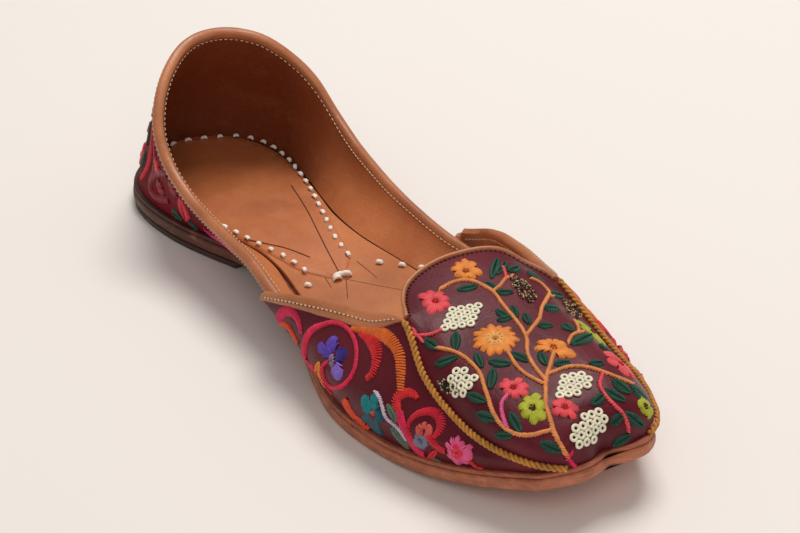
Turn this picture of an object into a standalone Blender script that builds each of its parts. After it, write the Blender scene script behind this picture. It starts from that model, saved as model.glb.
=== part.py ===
"""Mojari shoe (jutti), straight-lasted, so the same shape is worn on the right or the left foot.

Frame: the toe points along -Y, +X is the wearer's left, +Z is up and the sole rests on z = 0.
Every table holds shares: along in LENGTH, widths in BALL_W and heights in THROAT_H.
"""

import bpy
import numpy as np

# Named sizes in metres
LENGTH = 0.240  # outsole, toe to heel
BALL_W = 0.0731  # outsole across the ball
THROAT_H = 0.0400  # top of the tongue above the floor
TOE_SPRING = 0.0134  # underside of the toe above the floor
ARCH = 0.0023  # outsole raised at the waist and over the heel lift
OUTSOLE_T = 0.0036
WELT_T = 0.0012
SOCK_T = 0.0016  # insole sock
PAD_T = 0.0008  # heel pad
WALL = 0.0016  # leather of the upper with its lining
FOLD = 0.0005  # how far a folded edge stands out from the wall
CORD_T = 0.0011  # height of the seam cord
GAP = 0.0003  # between neighbouring pieces
EDGE = 0.0004  # rounding of a cut leather edge
TUCK = 0.0025  # the quarter lies this far inside the wing
BIND_TOP = 0.0032  # width of the topline binding
CENTRE_Y = 0.5 * LENGTH

# Outsole: edge to the right and left of the long axis, and how deep the sock lies inside that edge
#        along  right  left   sock
SOLE = [(0.0140, 0.185, 0.212, 0.070),
        (0.0270, 0.243, 0.256, 0.068),
        (0.0500, 0.280, 0.292, 0.064),
        (0.0830, 0.328, 0.340, 0.060),
        (0.1170, 0.373, 0.382, 0.058),
        (0.1580, 0.419, 0.429, 0.055),
        (0.2080, 0.460, 0.467, 0.054),
        (0.2580, 0.486, 0.492, 0.055),
        (0.3000, 0.497, 0.503, 0.066),
        (0.3500, 0.485, 0.498, 0.088),
        (0.4080, 0.432, 0.459, 0.096),
        (0.4790, 0.343, 0.391, 0.096),
        (0.5500, 0.255, 0.323, 0.062),
        (0.6250, 0.208, 0.282, 0.054),
        (0.6830, 0.214, 0.288, 0.054),
        (0.7420, 0.268, 0.328, 0.054),
        (0.7920, 0.310, 0.369, 0.066),
        (0.8420, 0.330, 0.391, 0.068),
        (0.8830, 0.329, 0.390, 0.068),
        (0.9250, 0.298, 0.358, 0.066),
        (0.9580, 0.226, 0.298, 0.060),
        (0.9790, 0.150, 0.228, 0.058)]
# Outline across the front of the toe and the back of the heel: across, along
TOE_FRONT = [(-0.137, 0.0060), (-0.082, 0.0050), (-0.027, 0.0100), (0.014, 0.0142),
             (0.055, 0.0096), (0.109, 0.0038), (0.164, 0.0050)]
HEEL_BACK = [(-0.067, 0.9935), (0.034, 1.0000), (0.137, 0.9935)]

# Upper over the toes and wings: two lines per section, from the toe back. lead: how far the crown runs
# ahead of the foot line; dent: how far the middle of the toe is set back; foot: inset from the sole
# edge; out, out_z: the widest point of the side; seam_*: the cord line and, behind it, the cuff edge;
# brow_*: the round of the tongue panel; mid_z, crown_z: its top. _r is the right side, _l the left.
#        along   lead    dent    foot   out    out_z  seam_r seam_rz seam_l,
#        seam_lz brow_r brow_rz brow_l brow_lz mid_z crown_z
VAMP = [(0.0150, 0.0042, 0.0092, 0.030, 0.000, 0.440, 0.150, 0.440, 0.167,
         0.440, 0.130, 0.440, 0.145, 0.440, 0.440, 0.440),
        (0.0250, 0.0142, 0.0067, 0.030, 0.004, 0.450, 0.202, 0.468, 0.216,
         0.462, 0.176, 0.535, 0.186, 0.515, 0.565, 0.530),
        (0.0417, 0.0250, 0.0033, 0.027, 0.010, 0.430, 0.246, 0.480, 0.258,
         0.475, 0.224, 0.585, 0.227, 0.560, 0.655, 0.635),
        (0.0708, 0.0354, 0.0013, 0.025, 0.022, 0.410, 0.293, 0.492, 0.302,
         0.480, 0.274, 0.630, 0.268, 0.580, 0.730, 0.738),
        (0.1125, 0.0354, 0.0000, 0.022, 0.036, 0.385, 0.341, 0.520, 0.356,
         0.478, 0.312, 0.690, 0.295, 0.620, 0.795, 0.815),
        (0.1583, 0.0250, 0.0000, 0.022, 0.038, 0.385, 0.360, 0.588, 0.387,
         0.490, 0.312, 0.765, 0.304, 0.665, 0.845, 0.875),
        (0.2083, 0.0125, 0.0000, 0.022, 0.040, 0.390, 0.353, 0.708, 0.402,
         0.573, 0.294, 0.835, 0.315, 0.720, 0.885, 0.918),
        (0.2583, 0.0000, 0.0000, 0.022, 0.042, 0.400, 0.312, 0.920, 0.383,
         0.765, 0.249, 0.950, 0.301, 0.860, 0.960, 0.972),
        (0.3167, 0.0000, 0.0000, 0.022, 0.044, 0.405, 0.328, 0.835, 0.425,
         0.725, 0.260, 0.930, 0.328, 0.855, 0.985, 1.015),
        (0.3750, 0.0000, 0.0000, 0.022, 0.057, 0.390, 0.373, 0.767, 0.470,
         0.680, 0.287, 0.895, 0.369, 0.830, 0.975, 1.025),
        (0.4333, 0.0000, 0.0000, 0.022, 0.085, 0.370, 0.424, 0.690, 0.490,
         0.622, 0.328, 0.850, 0.397, 0.790, 0.950, 1.012),
        (0.4942, 0.0000, 0.0000, 0.022, 0.129, 0.350, 0.458, 0.573, 0.471,
         0.480, 0.369, 0.750, 0.397, 0.675, 0.900, 1.000),
        (0.5417, 0.0000, 0.0000, 0.022, 0.150, 0.335, 0.473, 0.500, 0.465,
         0.410, 0.383, 0.700, 0.397, 0.625, 0.850, 0.975)]
# Quarter: one row per rib, from the right front end round the heel to the left one. foot_*, mid_*
# and top_* are plan positions; mid_z and top_z stand above the floor.
#           foot_x  foot_y  mid_x   mid_y   mid_z  top_x   top_y   top_z
QUARTER = [(-0.250, 0.5042, -0.375, 0.5042, 0.315, -0.428, 0.5042, 0.540),
           (-0.226, 0.5667, -0.338, 0.5667, 0.340, -0.409, 0.5667, 0.605),
           (-0.187, 0.6250, -0.315, 0.6250, 0.360, -0.401, 0.6250, 0.622),
           (-0.192, 0.6792, -0.312, 0.6792, 0.370, -0.391, 0.6792, 0.640),
           (-0.236, 0.7333, -0.328, 0.7312, 0.405, -0.386, 0.7271, 0.708),
           (-0.281, 0.7833, -0.342, 0.7750, 0.470, -0.380, 0.7696, 0.840),
           (-0.305, 0.8333, -0.332, 0.8175, 0.545, -0.356, 0.8029, 1.010),
           (-0.306, 0.8833, -0.299, 0.8560, 0.610, -0.300, 0.8283, 1.165),
           (-0.273, 0.9250, -0.251, 0.8900, 0.670, -0.227, 0.8492, 1.285),
           (-0.200, 0.9584, -0.180, 0.9215, 0.710, -0.142, 0.8667, 1.375),
           (-0.094, 0.9818, -0.086, 0.9480, 0.750, -0.062, 0.8800, 1.417),
           (0.032, 0.9930, 0.034, 0.9617, 0.755, 0.021, 0.8871, 1.432),
           (0.159, 0.9826, 0.160, 0.9520, 0.750, 0.116, 0.8900, 1.415),
           (0.265, 0.9591, 0.272, 0.9320, 0.735, 0.208, 0.8825, 1.380),
           (0.333, 0.9250, 0.362, 0.8983, 0.710, 0.305, 0.8633, 1.305),
           (0.367, 0.8833, 0.408, 0.8592, 0.665, 0.393, 0.8404, 1.150),
           (0.365, 0.8333, 0.432, 0.8175, 0.585, 0.449, 0.8146, 0.980),
           (0.340, 0.7833, 0.428, 0.7750, 0.490, 0.479, 0.7812, 0.755),
           (0.299, 0.7333, 0.410, 0.7312, 0.410, 0.471, 0.7333, 0.630),
           (0.265, 0.6792, 0.379, 0.6792, 0.370, 0.446, 0.6792, 0.585),
           (0.259, 0.6250, 0.363, 0.6250, 0.345, 0.428, 0.6250, 0.540),
           (0.287, 0.5667, 0.369, 0.5667, 0.330, 0.427, 0.5667, 0.480),
           (0.320, 0.5042, 0.399, 0.5042, 0.305, 0.440, 0.5042, 0.425)]
# The quarter's ends inside the wings: along, top height on the right and on the left
TUCKED = [(0.3600, 0.410, 0.380), (0.4100, 0.425, 0.385), (0.4550, 0.450, 0.390)]
# Heel pad: edge to the right and left
#       along   right  left
PAD = [(0.5580, 0.040, 0.040), (0.5900, 0.105, 0.120), (0.6300, 0.135, 0.160), (0.6750, 0.165, 0.200),
       (0.7200, 0.190, 0.240), (0.7650, 0.218, 0.276), (0.8100, 0.240, 0.305), (0.8550, 0.250, 0.318),
       (0.8950, 0.238, 0.304), (0.9300, 0.196, 0.262), (0.9550, 0.135, 0.200), (0.9690, 0.062, 0.130)]

SPRING_END = 0.2583  # station where the toe spring starts to rise
WAIST_START, WAIST_END = 0.430, 0.680  # stations between which the outsole rises by ARCH
LIFT_START = 0.700  # straight front of the heel lift
WING_START = 0.2583  # station where the wings part from the tongue
WING_FOOT = 0.4080  # rear edge of a wing at the sole
WING_TIP = 0.4942  # rear edge of a wing at its tip
TONGUE_END = 0.3250  # top of the tongue's round edge
# Places of the control points round a vamp section, and along a quarter rib
ROUND = np.array([0.0, 0.9, 2.2, 3.0, 4.0, 5.0, 6.0, 7.0, 7.8, 9.1, 10.0])
SEAM_R, CROWN, SEAM_L = ROUND[2], ROUND[5], ROUND[8]
CUFF_SHARE = 0.36  # height of the cuff band round the section
BIND_SHARE = 0.23  # width of the tongue binding round the section
CORD_SHARE = 0.14  # half the width of the seam cord round the section
CUFF_SEAM = 0.022  # the wing stops this far below its cuff
CUFF_LAP = 0.008  # the cuff starts this far above its line, so that it clears the wing
CUFF_RISE = 0.05  # stations over which the cuff grows to its full height
CUFF_FRONT = 0.004  # the cuffs start this far behind the tongue's corner
BIND_LAP = 0.005  # the tongue binding clears the tongue by this
BIND_SIDE = 0.01  # and the cords by this
CORD_CLEAR = 1.3 * GAP  # underside of the cord over the bent leather
CORD_FRONT = 0.017  # foremost station of the cords


def along_to_y(share):
    return share * LENGTH - CENTRE_Y


def spline(knots, values, at):
    """Smooth curve through values at knots, with slopes from the neighbours on both sides."""
    knots = np.asarray(knots, float)
    values = np.asarray(values, float)
    at = np.clip(np.atleast_1d(np.asarray(at, float)), knots[0], knots[-1])
    step = np.diff(knots)
    shape = (-1,) + (1,) * (values.ndim - 1)
    rate = np.diff(values, axis=0) / step.reshape(shape)
    before, after = step[:-1].reshape(shape), step[1:].reshape(shape)
    slope = np.concatenate([rate[:1], (rate[:-1] * after + rate[1:] * before) / (before + after), rate[-1:]])
    i = np.clip(np.searchsorted(knots, at, side="right") - 1, 0, len(knots) - 2)
    h = step[i].reshape(shape)
    t = ((at - knots[i]) / step[i]).reshape(shape)
    return ((2 * t**3 - 3 * t**2 + 1) * values[i] + (t**3 - 2 * t**2 + t) * h * slope[i]
            + (3 * t**2 - 2 * t**3) * values[i + 1] + (t**3 - t**2) * h * slope[i + 1])


def column(table, index, at):
    data = np.array(table)
    return spline(data[:, 0], data[:, index], at)


def underside(along):
    """Height of the outsole's underside: toe spring, flat ball, waist, and the seat on the heel lift."""
    along = np.asarray(along, float)
    toe = TOE_SPRING * np.clip((SPRING_END - along) / SPRING_END, 0, None) ** 1.8
    t = np.clip((along - WAIST_START) / (WAIST_END - WAIST_START), 0, 1)
    return toe + ARCH * t * t * (3 - 2 * t)


def foot_height(along):
    """Where the upper stands: just above the welt layer."""
    return underside(along) + OUTSOLE_T + WELT_T + 2 * GAP


def outline(stations, inset=0.0):
    """Closed plan outline of the sole, each point moved in by inset: counterclockwise seen from above."""
    right = np.stack([-column(SOLE, 1, stations) * BALL_W, along_to_y(stations)], 1)
    left = np.stack([column(SOLE, 2, stations) * BALL_W, along_to_y(stations)], 1)
    front = np.array([(x * BALL_W, along_to_y(y)) for x, y in TOE_FRONT])
    back = np.array([(x * BALL_W, along_to_y(y)) for x, y in HEEL_BACK])
    loop = np.concatenate([left, back[::-1], right[::-1], front])
    side = np.roll(loop, -1, 0) - np.roll(loop, 1, 0)
    side /= np.linalg.norm(side, axis=1)[:, None]
    inward = np.stack([-side[:, 1], side[:, 0]], 1)
    return loop + inward * np.broadcast_to(inset, len(loop))[:, None]


def cap(n, ahead, behind):
    """Faces over an outline of n stations a side with ahead points at the toe and behind at the heel."""
    left = list(range(n))
    right = [2 * n + behind - 1 - i for i in range(n)]
    faces = [(right[i], left[i], left[i + 1], right[i + 1]) for i in range(n - 1)]
    faces.append(tuple([left[-1]] + list(range(n, n + behind)) + [right[-1]]))
    start = 2 * n + behind
    faces.append(tuple([right[0]] + list(range(start, start + ahead)) + [left[0]]))
    return faces


def sheet(name, rings, n, ahead, behind, material):
    """A flat layer: rings of equal length from its underside to its top, closed by the two caps."""
    count = len(rings[0])
    verts = np.concatenate(rings)
    faces = [tuple(reversed(f)) for f in cap(n, ahead, behind)]
    for r in range(len(rings) - 1):
        for i in range(count):
            j = (i + 1) % count
            faces.append((r * count + i, r * count + j, (r + 1) * count + j, (r + 1) * count + i))
    top = (len(rings) - 1) * count
    faces += [tuple(top + i for i in f) for f in cap(n, ahead, behind)]
    return make(name, verts, faces, material)


def make(name, verts, faces, material):
    mesh = bpy.data.meshes.new(name)
    mesh.from_pydata([tuple(float(c) for c in v) for v in verts], [], faces)
    mesh.materials.append(material)
    mesh.update()
    obj = bpy.data.objects.new(name, mesh)
    bpy.context.scene.collection.objects.link(obj)
    return obj


def leather(name, colour, roughness):
    material = bpy.data.materials.new(name)
    material.use_nodes = True
    shader = material.node_tree.nodes["Principled BSDF"]
    shader.inputs["Base Color"].default_value = (*colour, 1.0)
    shader.inputs["Roughness"].default_value = roughness
    return material


def layer_rings(stations, inset, low, high, edge):
    """Rings of a layer between two heights over the underside, with its edges eased by edge."""
    rings = []
    for more, base, lift in ((edge, low, 0.0), (0.0, low, edge), (0.0, high, -edge), (edge, high, 0.0)):
        flat = outline(stations, inset + more)
        plain = outline(stations, 0.0)
        z = underside((plain[:, 1] + CENTRE_Y) / LENGTH) + base + lift
        rings.append(np.column_stack([flat, z]))
    return rings


def build_sole(stations):
    n, ahead, behind = len(stations), len(TOE_FRONT), len(HEEL_BACK)
    tan = leather("outsole_leather", (0.42, 0.22, 0.13), 0.6)
    edge_tan = leather("welt_leather", (0.36, 0.17, 0.10), 0.6)
    lining = leather("sock_leather", (0.50, 0.22, 0.10), 0.5)
    rings = layer_rings(stations, 0.0, 0.0, OUTSOLE_T, 2 * EDGE)
    sheet("outsole", rings, n, ahead, behind, tan)
    low = OUTSOLE_T + GAP
    sheet("welt", layer_rings(stations, GAP, low, low + WELT_T, EDGE), n, ahead, behind, edge_tan)
    low += WELT_T + GAP
    plain = outline(stations)
    deep = column(SOLE, 3, (plain[:, 1] + CENTRE_Y) / LENGTH) * BALL_W
    sheet("insole", layer_rings(stations, deep, low, low + SOCK_T, EDGE), n, ahead, behind, lining)
    return low + SOCK_T + GAP


def build_heel_lift():
    """The lift has its own stations, from its straight breast to the heel end."""
    stations = np.array([LIFT_START, 0.742, 0.792, 0.842, 0.883, 0.925, 0.958, 0.979])
    behind = len(HEEL_BACK)
    n = len(stations)
    dark = leather("heel_leather", (0.16, 0.08, 0.05), 0.65)
    rings = []
    for more, z in ((EDGE, 0.0), (0.0, EDGE), (0.0, ARCH - GAP - EDGE), (EDGE, ARCH - GAP)):
        loop = outline(stations, GAP + more)[:2 * n + behind]
        loop[0, 1] = loop[-1, 1] = along_to_y(stations[0]) + more
        rings.append(np.column_stack([loop, np.full(len(loop), z)]))
    return sheet("heel_lift", rings, n, 0, behind, dark)


def build_pad(base):
    data = np.array(PAD)
    stations = np.linspace(data[0, 0], data[-1, 0], 15)
    right = np.stack([-column(PAD, 1, stations) * BALL_W, along_to_y(stations)], 1)
    left = np.stack([column(PAD, 2, stations) * BALL_W, along_to_y(stations)], 1)
    loop = np.concatenate([left, right[::-1]])
    rings = []
    for more, lift in ((0.0, 0.0), (0.0, PAD_T - EDGE), (EDGE, PAD_T)):
        side = np.roll(loop, -1, 0) - np.roll(loop, 1, 0)
        side /= np.linalg.norm(side, axis=1)[:, None]
        flat = loop + np.stack([-side[:, 1], side[:, 0]], 1) * more
        z = underside((loop[:, 1] + CENTRE_Y) / LENGTH) + base + lift
        rings.append(np.column_stack([flat, z]))
    pad = leather("pad_leather", (0.48, 0.21, 0.10), 0.45)
    return sheet("heel_pad", rings, len(stations), 0, 0, pad)


def vamp_net():
    """Control points of the upper over toes and wings: rows along, eleven points round each section."""
    lean = np.array([0.0, 0.2, 0.45, 0.7, 0.9, 1.0, 0.9, 0.7, 0.45, 0.2, 0.0])
    net, places = [], []
    for (along, lead, dent, foot, out, out_z, seam_r, seam_rz, seam_l, seam_lz,
         brow_r, brow_rz, brow_l, brow_lz, mid_z, crown_z) in VAMP:
        right = column(SOLE, 1, along)[0] - foot
        left = column(SOLE, 2, along)[0] - foot
        x = [-right, -right - out, -seam_r, -brow_r, -0.5 * seam_r, 0.1 * (seam_l - seam_r),
             0.5 * seam_l, brow_l, seam_l, left + out, left]
        z = [0.0, out_z, seam_rz, brow_rz, mid_z, crown_z, mid_z, brow_lz, seam_lz, out_z, 0.0]
        y = along - lead * lean
        y[5] += dent
        low = foot_height(y)
        net.append([(x[k] * BALL_W, along_to_y(y[k]), max(z[k] * THROAT_H, low[k])) for k in range(11)])
        places.append(along - 0.5 * lead)
    return np.array(places), np.array(net)


def quarter_net(places, net):
    """Control points of the back of the upper: one rib of three points per row."""
    def tucked(along, top, sign):
        section = spline(places, net, along)[0]
        p = np.linspace(0.0, SEAM_R, 45) if sign < 0 else np.linspace(ROUND[-1], SEAM_L, 45)
        curve = spline(ROUND, section, p)
        rib = []
        for z in (curve[0, 2], 0.5 * (curve[0, 2] + top * THROAT_H), top * THROAT_H):
            x = np.interp(z, curve[:, 2], curve[:, 0]) - sign * TUCK
            rib.append((x, along_to_y(along), z))
        return rib

    ribs = [tucked(along, right, -1) for along, right, _ in TUCKED]
    for fx, fy, mx, my, mz, tx, ty, tz in QUARTER:
        ribs.append([(fx * BALL_W, along_to_y(fy), foot_height(fy)),
                     (mx * BALL_W, along_to_y(my), mz * THROAT_H),
                     (tx * BALL_W, along_to_y(ty), tz * THROAT_H)])
    ribs += [tucked(along, left, 1) for along, _, left in TUCKED[::-1]]
    ribs = np.array(ribs)
    run = np.linalg.norm(np.diff(ribs.mean(axis=1), axis=0), axis=1)
    return np.concatenate([[0.0], np.cumsum(run)]), ribs


class Surface:
    """A smooth surface through a net of control points: a along the rows, b across them."""

    def __init__(self, rows, columns, net):
        self.rows, self.columns, self.net = rows, columns, net

    def point(self, a, b):
        return spline(self.columns, spline(self.rows, self.net, a)[0], b)[0]

    def normal(self, a, b):
        da = 0.002 * (self.rows[-1] - self.rows[0])
        db = 0.002 * (self.columns[-1] - self.columns[0])
        a0, a1 = max(a - da, self.rows[0]), min(a + da, self.rows[-1])
        b0, b1 = max(b - db, self.columns[0]), min(b + db, self.columns[-1])
        n = np.cross(self.point(a, b1) - self.point(a, b0), self.point(a1, b) - self.point(a0, b))
        return n / np.linalg.norm(n)


def weld(points, quads):
    """Points that coincide made one, and faces that collapse dropped or made triangles."""
    keys, order, index = {}, [], []
    for i, p in enumerate(points):
        key = tuple(np.round(p * 1e7).astype(int))
        if key not in keys:
            keys[key] = len(order)
            order.append(i)
        index.append(keys[key])
    faces = []
    for quad in quads:
        face = []
        for i in quad:
            if index[i] not in face:
                face.append(index[i])
        if len(face) > 2:
            faces.append(tuple(face))
    return order, faces


def thicken(name, surface, params, quads, outer, inner, material):
    """A closed shell between two offsets of the surface over a patch of parameter points."""
    params = np.asarray(params, float)
    points = np.array([surface.point(a, b) for a, b in params])
    order, faces = weld(points, quads)
    normals = np.array([surface.normal(*params[i]) for i in order])
    points = points[order]
    n = len(order)
    verts = np.concatenate([points + normals * outer, points + normals * inner])
    verts[:, 2] = np.maximum(verts[:, 2], foot_height((verts[:, 1] + CENTRE_Y) / LENGTH))
    edges = {}
    for face in faces:
        for i, j in zip(face, face[1:] + face[:1]):
            edges[(i, j)] = True
    solid = list(faces) + [tuple(n + i for i in reversed(f)) for f in faces]
    for i, j in edges:
        if (j, i) not in edges:
            solid.append((j, i, n + i, n + j))
    return make(name, verts, solid, material)


def grid(rows, cols, start=0):
    """Quads over a grid of rows by cols points, row after row."""
    corners = [start + r * cols + c for r in range(rows - 1) for c in range(cols - 1)]
    return [(i, i + 1, i + cols + 1, i + cols) for i in corners]


def cuff_edge(a):
    """Lower edge of the cuff band, as places round the section: it starts at the cord and widens."""
    t = np.clip((a - WING_START) / CUFF_RISE, 0, 1)
    return CUFF_SHARE * t * (2 - t)


def tongue_edge(b, inset):
    """How far back the tongue reaches at place b; inset leaves room for its binding."""
    half = SEAM_L - CROWN - inset
    q = np.clip(abs(b - CROWN) / half, 0, 1)
    reach = (TONGUE_END - WING_START) * (1 - inset / (SEAM_L - CROWN) * 0.85)
    return WING_START + reach * (1 - q**1.8) ** 0.85


def vamp_patch(across, front_rows, wing_rows, tongue_rows):
    """Parameter points and faces of the vamp without its bindings: toe, then the wings and the tongue."""
    side = np.append(np.linspace(0.0, SEAM_R - CORD_SHARE, across[0] - 1), SEAM_R)
    brow = np.array([SEAM_R + CORD_SHARE, SEAM_R + BIND_SHARE])
    crown = np.linspace(SEAM_R + BIND_SHARE, SEAM_L - BIND_SHARE, across[1])[1:]
    places = np.concatenate([side, brow, crown, [SEAM_L - CORD_SHARE, SEAM_L], (ROUND[-1] - side[::-1])[1:]])
    gap = GAP / LENGTH
    params, quads = [], []
    cols = len(places)
    for a in front_rows:
        params += [(a, b) for b in places]
    quads += grid(len(front_rows), cols)
    last = (len(front_rows) - 1) * cols
    count = len(side)

    for mirror in (False, True):
        start = len(params)
        for t in wing_rows:
            for b in side:
                end = WING_FOOT + (WING_TIP - WING_FOOT) * b / SEAM_R
                a = WING_START + (end - WING_START) * t
                near = b * (SEAM_R - cuff_edge(a) - CUFF_SEAM * min(1.0, t * 20)) / SEAM_R
                params.append((a, ROUND[-1] - near if mirror else near))
        offset = last + cols - 1 if mirror else last
        row = [(offset - c if mirror else offset + c) for c in range(count)]
        for r in range(len(wing_rows)):
            new = [start + r * count + c for c in range(count)]
            for c in range(count - 1):
                quad = (row[c], row[c + 1], new[c + 1], new[c])
                quads.append(tuple(reversed(quad)) if mirror else quad)
            row = new

    first, final = count + 1, count + 1 + len(crown)
    inner = list(range(first, final + 1))
    start = len(params)
    row = [last + c for c in inner]
    for s in tongue_rows:
        for c in inner:
            end = tongue_edge(places[c], BIND_SHARE) - gap
            params.append((WING_START + max(0.0, end - WING_START) * s, places[c]))
    for r in range(len(tongue_rows)):
        new = [start + r * len(inner) + i for i in range(len(inner))]
        for i in range(len(inner) - 1):
            quads.append((row[i], row[i + 1], new[i + 1], new[i]))
        row = new
    return params, quads


def build_upper():
    places, net = vamp_net()
    top = Surface(places, ROUND, net)
    maroon = leather("vamp_leather", (0.10, 0.015, 0.022), 0.42)
    fold = leather("fold_leather", (0.52, 0.22, 0.11), 0.45)
    cord = leather("cord_thread", (0.60, 0.34, 0.12), 0.6)

    front = np.concatenate([np.linspace(places[0], 0.030, 5)[:-1], np.linspace(0.030, WING_START, 13)])
    wings = np.linspace(0, 1, 9)[1:]
    params, quads = vamp_patch((8, 13), front, wings, np.linspace(0, 1, 4)[1:])
    thicken("vamp", top, params, quads, 0.0, -WALL, maroon)

    for name, mirror in (("cuff_right", False), ("cuff_left", True)):
        params = []
        behind = np.linspace(3 * CUFF_FRONT, WING_TIP - WING_START, 13)
        rows = WING_START + np.append(CUFF_FRONT, behind)
        for a in rows:
            for t in np.linspace(0, 1, 4):
                b = SEAM_R - (cuff_edge(a) - CUFF_LAP) * (1 - t)
                params.append((a, ROUND[-1] - b if mirror else b))
        quads = grid(len(rows), 4)
        if mirror:
            quads = [tuple(reversed(q)) for q in quads]
        thicken(name, top, params, quads, FOLD, -WALL - FOLD, fold)

    ends = np.linspace(-1.0, 1.0, 25)
    params = []
    for e in ends:
        sweep = np.sin(0.5 * np.pi * e)
        for inset in (BIND_SHARE - BIND_LAP, 0.5 * BIND_SHARE, 0.0):
            b = CROWN + sweep * (SEAM_L - CROWN - inset - BIND_SIDE)
            params.append((max(tongue_edge(b, inset), WING_START + 0.4 * CUFF_FRONT), b))
    quads = [tuple(reversed(q)) for q in grid(len(ends), 3)]
    thicken("tongue_binding", top, params, quads, FOLD, -WALL - FOLD, fold)

    for name, mirror in (("cord_right", False), ("cord_left", True)):
        params = []
        rows = front[front > CORD_FRONT]
        for a in rows:
            for b in (SEAM_R - CORD_SHARE, SEAM_R, SEAM_R + CORD_SHARE):
                params.append((a, ROUND[-1] - b if mirror else b))
        quads = grid(len(rows), 3)
        if mirror:
            quads = [tuple(reversed(q)) for q in quads]
        thicken(name, top, params, quads, CORD_CLEAR + CORD_T, CORD_CLEAR, cord)

    ribs, ribnet = quarter_net(places, net)
    columns = np.array([0.0, 0.45, 1.0])
    back = Surface(ribs, columns, ribnet)
    count = 53
    stations = np.linspace(ribs[0], ribs[-1], count)
    params, bind = [], []
    for u in stations:
        height = np.linalg.norm(back.point(u, 1.0) - back.point(u, 0.5)) * 2
        cut = 1 - BIND_TOP / height
        edge = GAP / height
        params += [(u, b) for b in np.linspace(0.0, cut - edge, 6)]
        bind += [(u, b) for b in np.linspace(cut, 1.0, 3)]
    shell = leather("quarter_leather", (0.10, 0.015, 0.022), 0.42)
    roll = leather("topline_leather", (0.56, 0.25, 0.13), 0.42)
    thicken("quarter", back, params, grid(count, 6), 0.0, -WALL, shell)
    thicken("topline_binding", back, bind, grid(count, 3), FOLD, -WALL - FOLD, roll)


def main():
    for obj in list(bpy.data.objects):
        bpy.data.objects.remove(obj, do_unlink=True)
    data = np.array(SOLE)
    stations = np.concatenate([data[:3, 0], np.linspace(data[3, 0], data[-4, 0], 24), data[-3:, 0]])
    top = build_sole(stations)
    build_heel_lift()
    build_pad(top)
    build_upper()


main()
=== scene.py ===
"""Looks of the mojari shoe: leathers, bindings, embroidery, lacing, camera and light."""
import math
import bpy
import numpy as np
from mathutils import Matrix, Vector
from mathutils.bvhtree import BVHTree


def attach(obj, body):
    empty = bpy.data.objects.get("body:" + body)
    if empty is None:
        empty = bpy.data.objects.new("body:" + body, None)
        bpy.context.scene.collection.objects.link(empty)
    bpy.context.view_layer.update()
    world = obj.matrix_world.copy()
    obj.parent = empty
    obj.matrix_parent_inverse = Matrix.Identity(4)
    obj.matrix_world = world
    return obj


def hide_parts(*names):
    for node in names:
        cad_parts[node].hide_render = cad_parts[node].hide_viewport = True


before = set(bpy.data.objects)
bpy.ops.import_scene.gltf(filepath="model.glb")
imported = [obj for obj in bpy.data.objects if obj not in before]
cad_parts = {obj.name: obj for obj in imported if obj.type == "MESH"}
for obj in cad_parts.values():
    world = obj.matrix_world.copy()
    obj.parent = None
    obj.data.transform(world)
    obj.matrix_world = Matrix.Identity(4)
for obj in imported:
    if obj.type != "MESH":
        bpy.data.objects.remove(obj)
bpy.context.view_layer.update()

MM = 0.001
# Sizes of the part, in metres; the tables below hold shares of them
LENGTH, BALL_W, THROAT_H = 0.240, 0.0731, 0.0400
TOE_SPRING, ARCH = 0.0134, 0.0023
OUTSOLE_T, WELT_T, SOCK_T, PAD_T = 0.0036, 0.0012, 0.0016, 0.0008
WALL, FOLD, GAP, TUCK, BIND_TOP = 0.0016, 0.0005, 0.0003, 0.0025, 0.0032
CENTRE_Y = 0.5 * LENGTH
# Place along, half width right and left, and how far in the sock's edge lies
SOLE = [(0.0140, 0.185, 0.212, 0.070), (0.0270, 0.243, 0.256, 0.068), (0.0500, 0.280, 0.292, 0.064),
        (0.0830, 0.328, 0.340, 0.060), (0.1170, 0.373, 0.382, 0.058), (0.1580, 0.419, 0.429, 0.055),
        (0.2080, 0.460, 0.467, 0.054), (0.2580, 0.486, 0.492, 0.055), (0.3000, 0.497, 0.503, 0.066),
        (0.3500, 0.485, 0.498, 0.088), (0.4080, 0.432, 0.459, 0.096), (0.4790, 0.343, 0.391, 0.096),
        (0.5500, 0.255, 0.323, 0.062), (0.6250, 0.208, 0.282, 0.054), (0.6830, 0.214, 0.288, 0.054),
        (0.7420, 0.268, 0.328, 0.054), (0.7920, 0.310, 0.369, 0.066), (0.8420, 0.330, 0.391, 0.068),
        (0.8830, 0.329, 0.390, 0.068), (0.9250, 0.298, 0.358, 0.066), (0.9580, 0.226, 0.298, 0.060),
        (0.9790, 0.150, 0.228, 0.058)]
TOE_FRONT = [(-0.137, 0.0060), (-0.082, 0.0050), (-0.027, 0.0100), (0.014, 0.0142),
             (0.055, 0.0096), (0.109, 0.0038), (0.164, 0.0050)]
HEEL_BACK = [(-0.067, 0.9935), (0.034, 1.0000), (0.137, 0.9935)]
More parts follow.
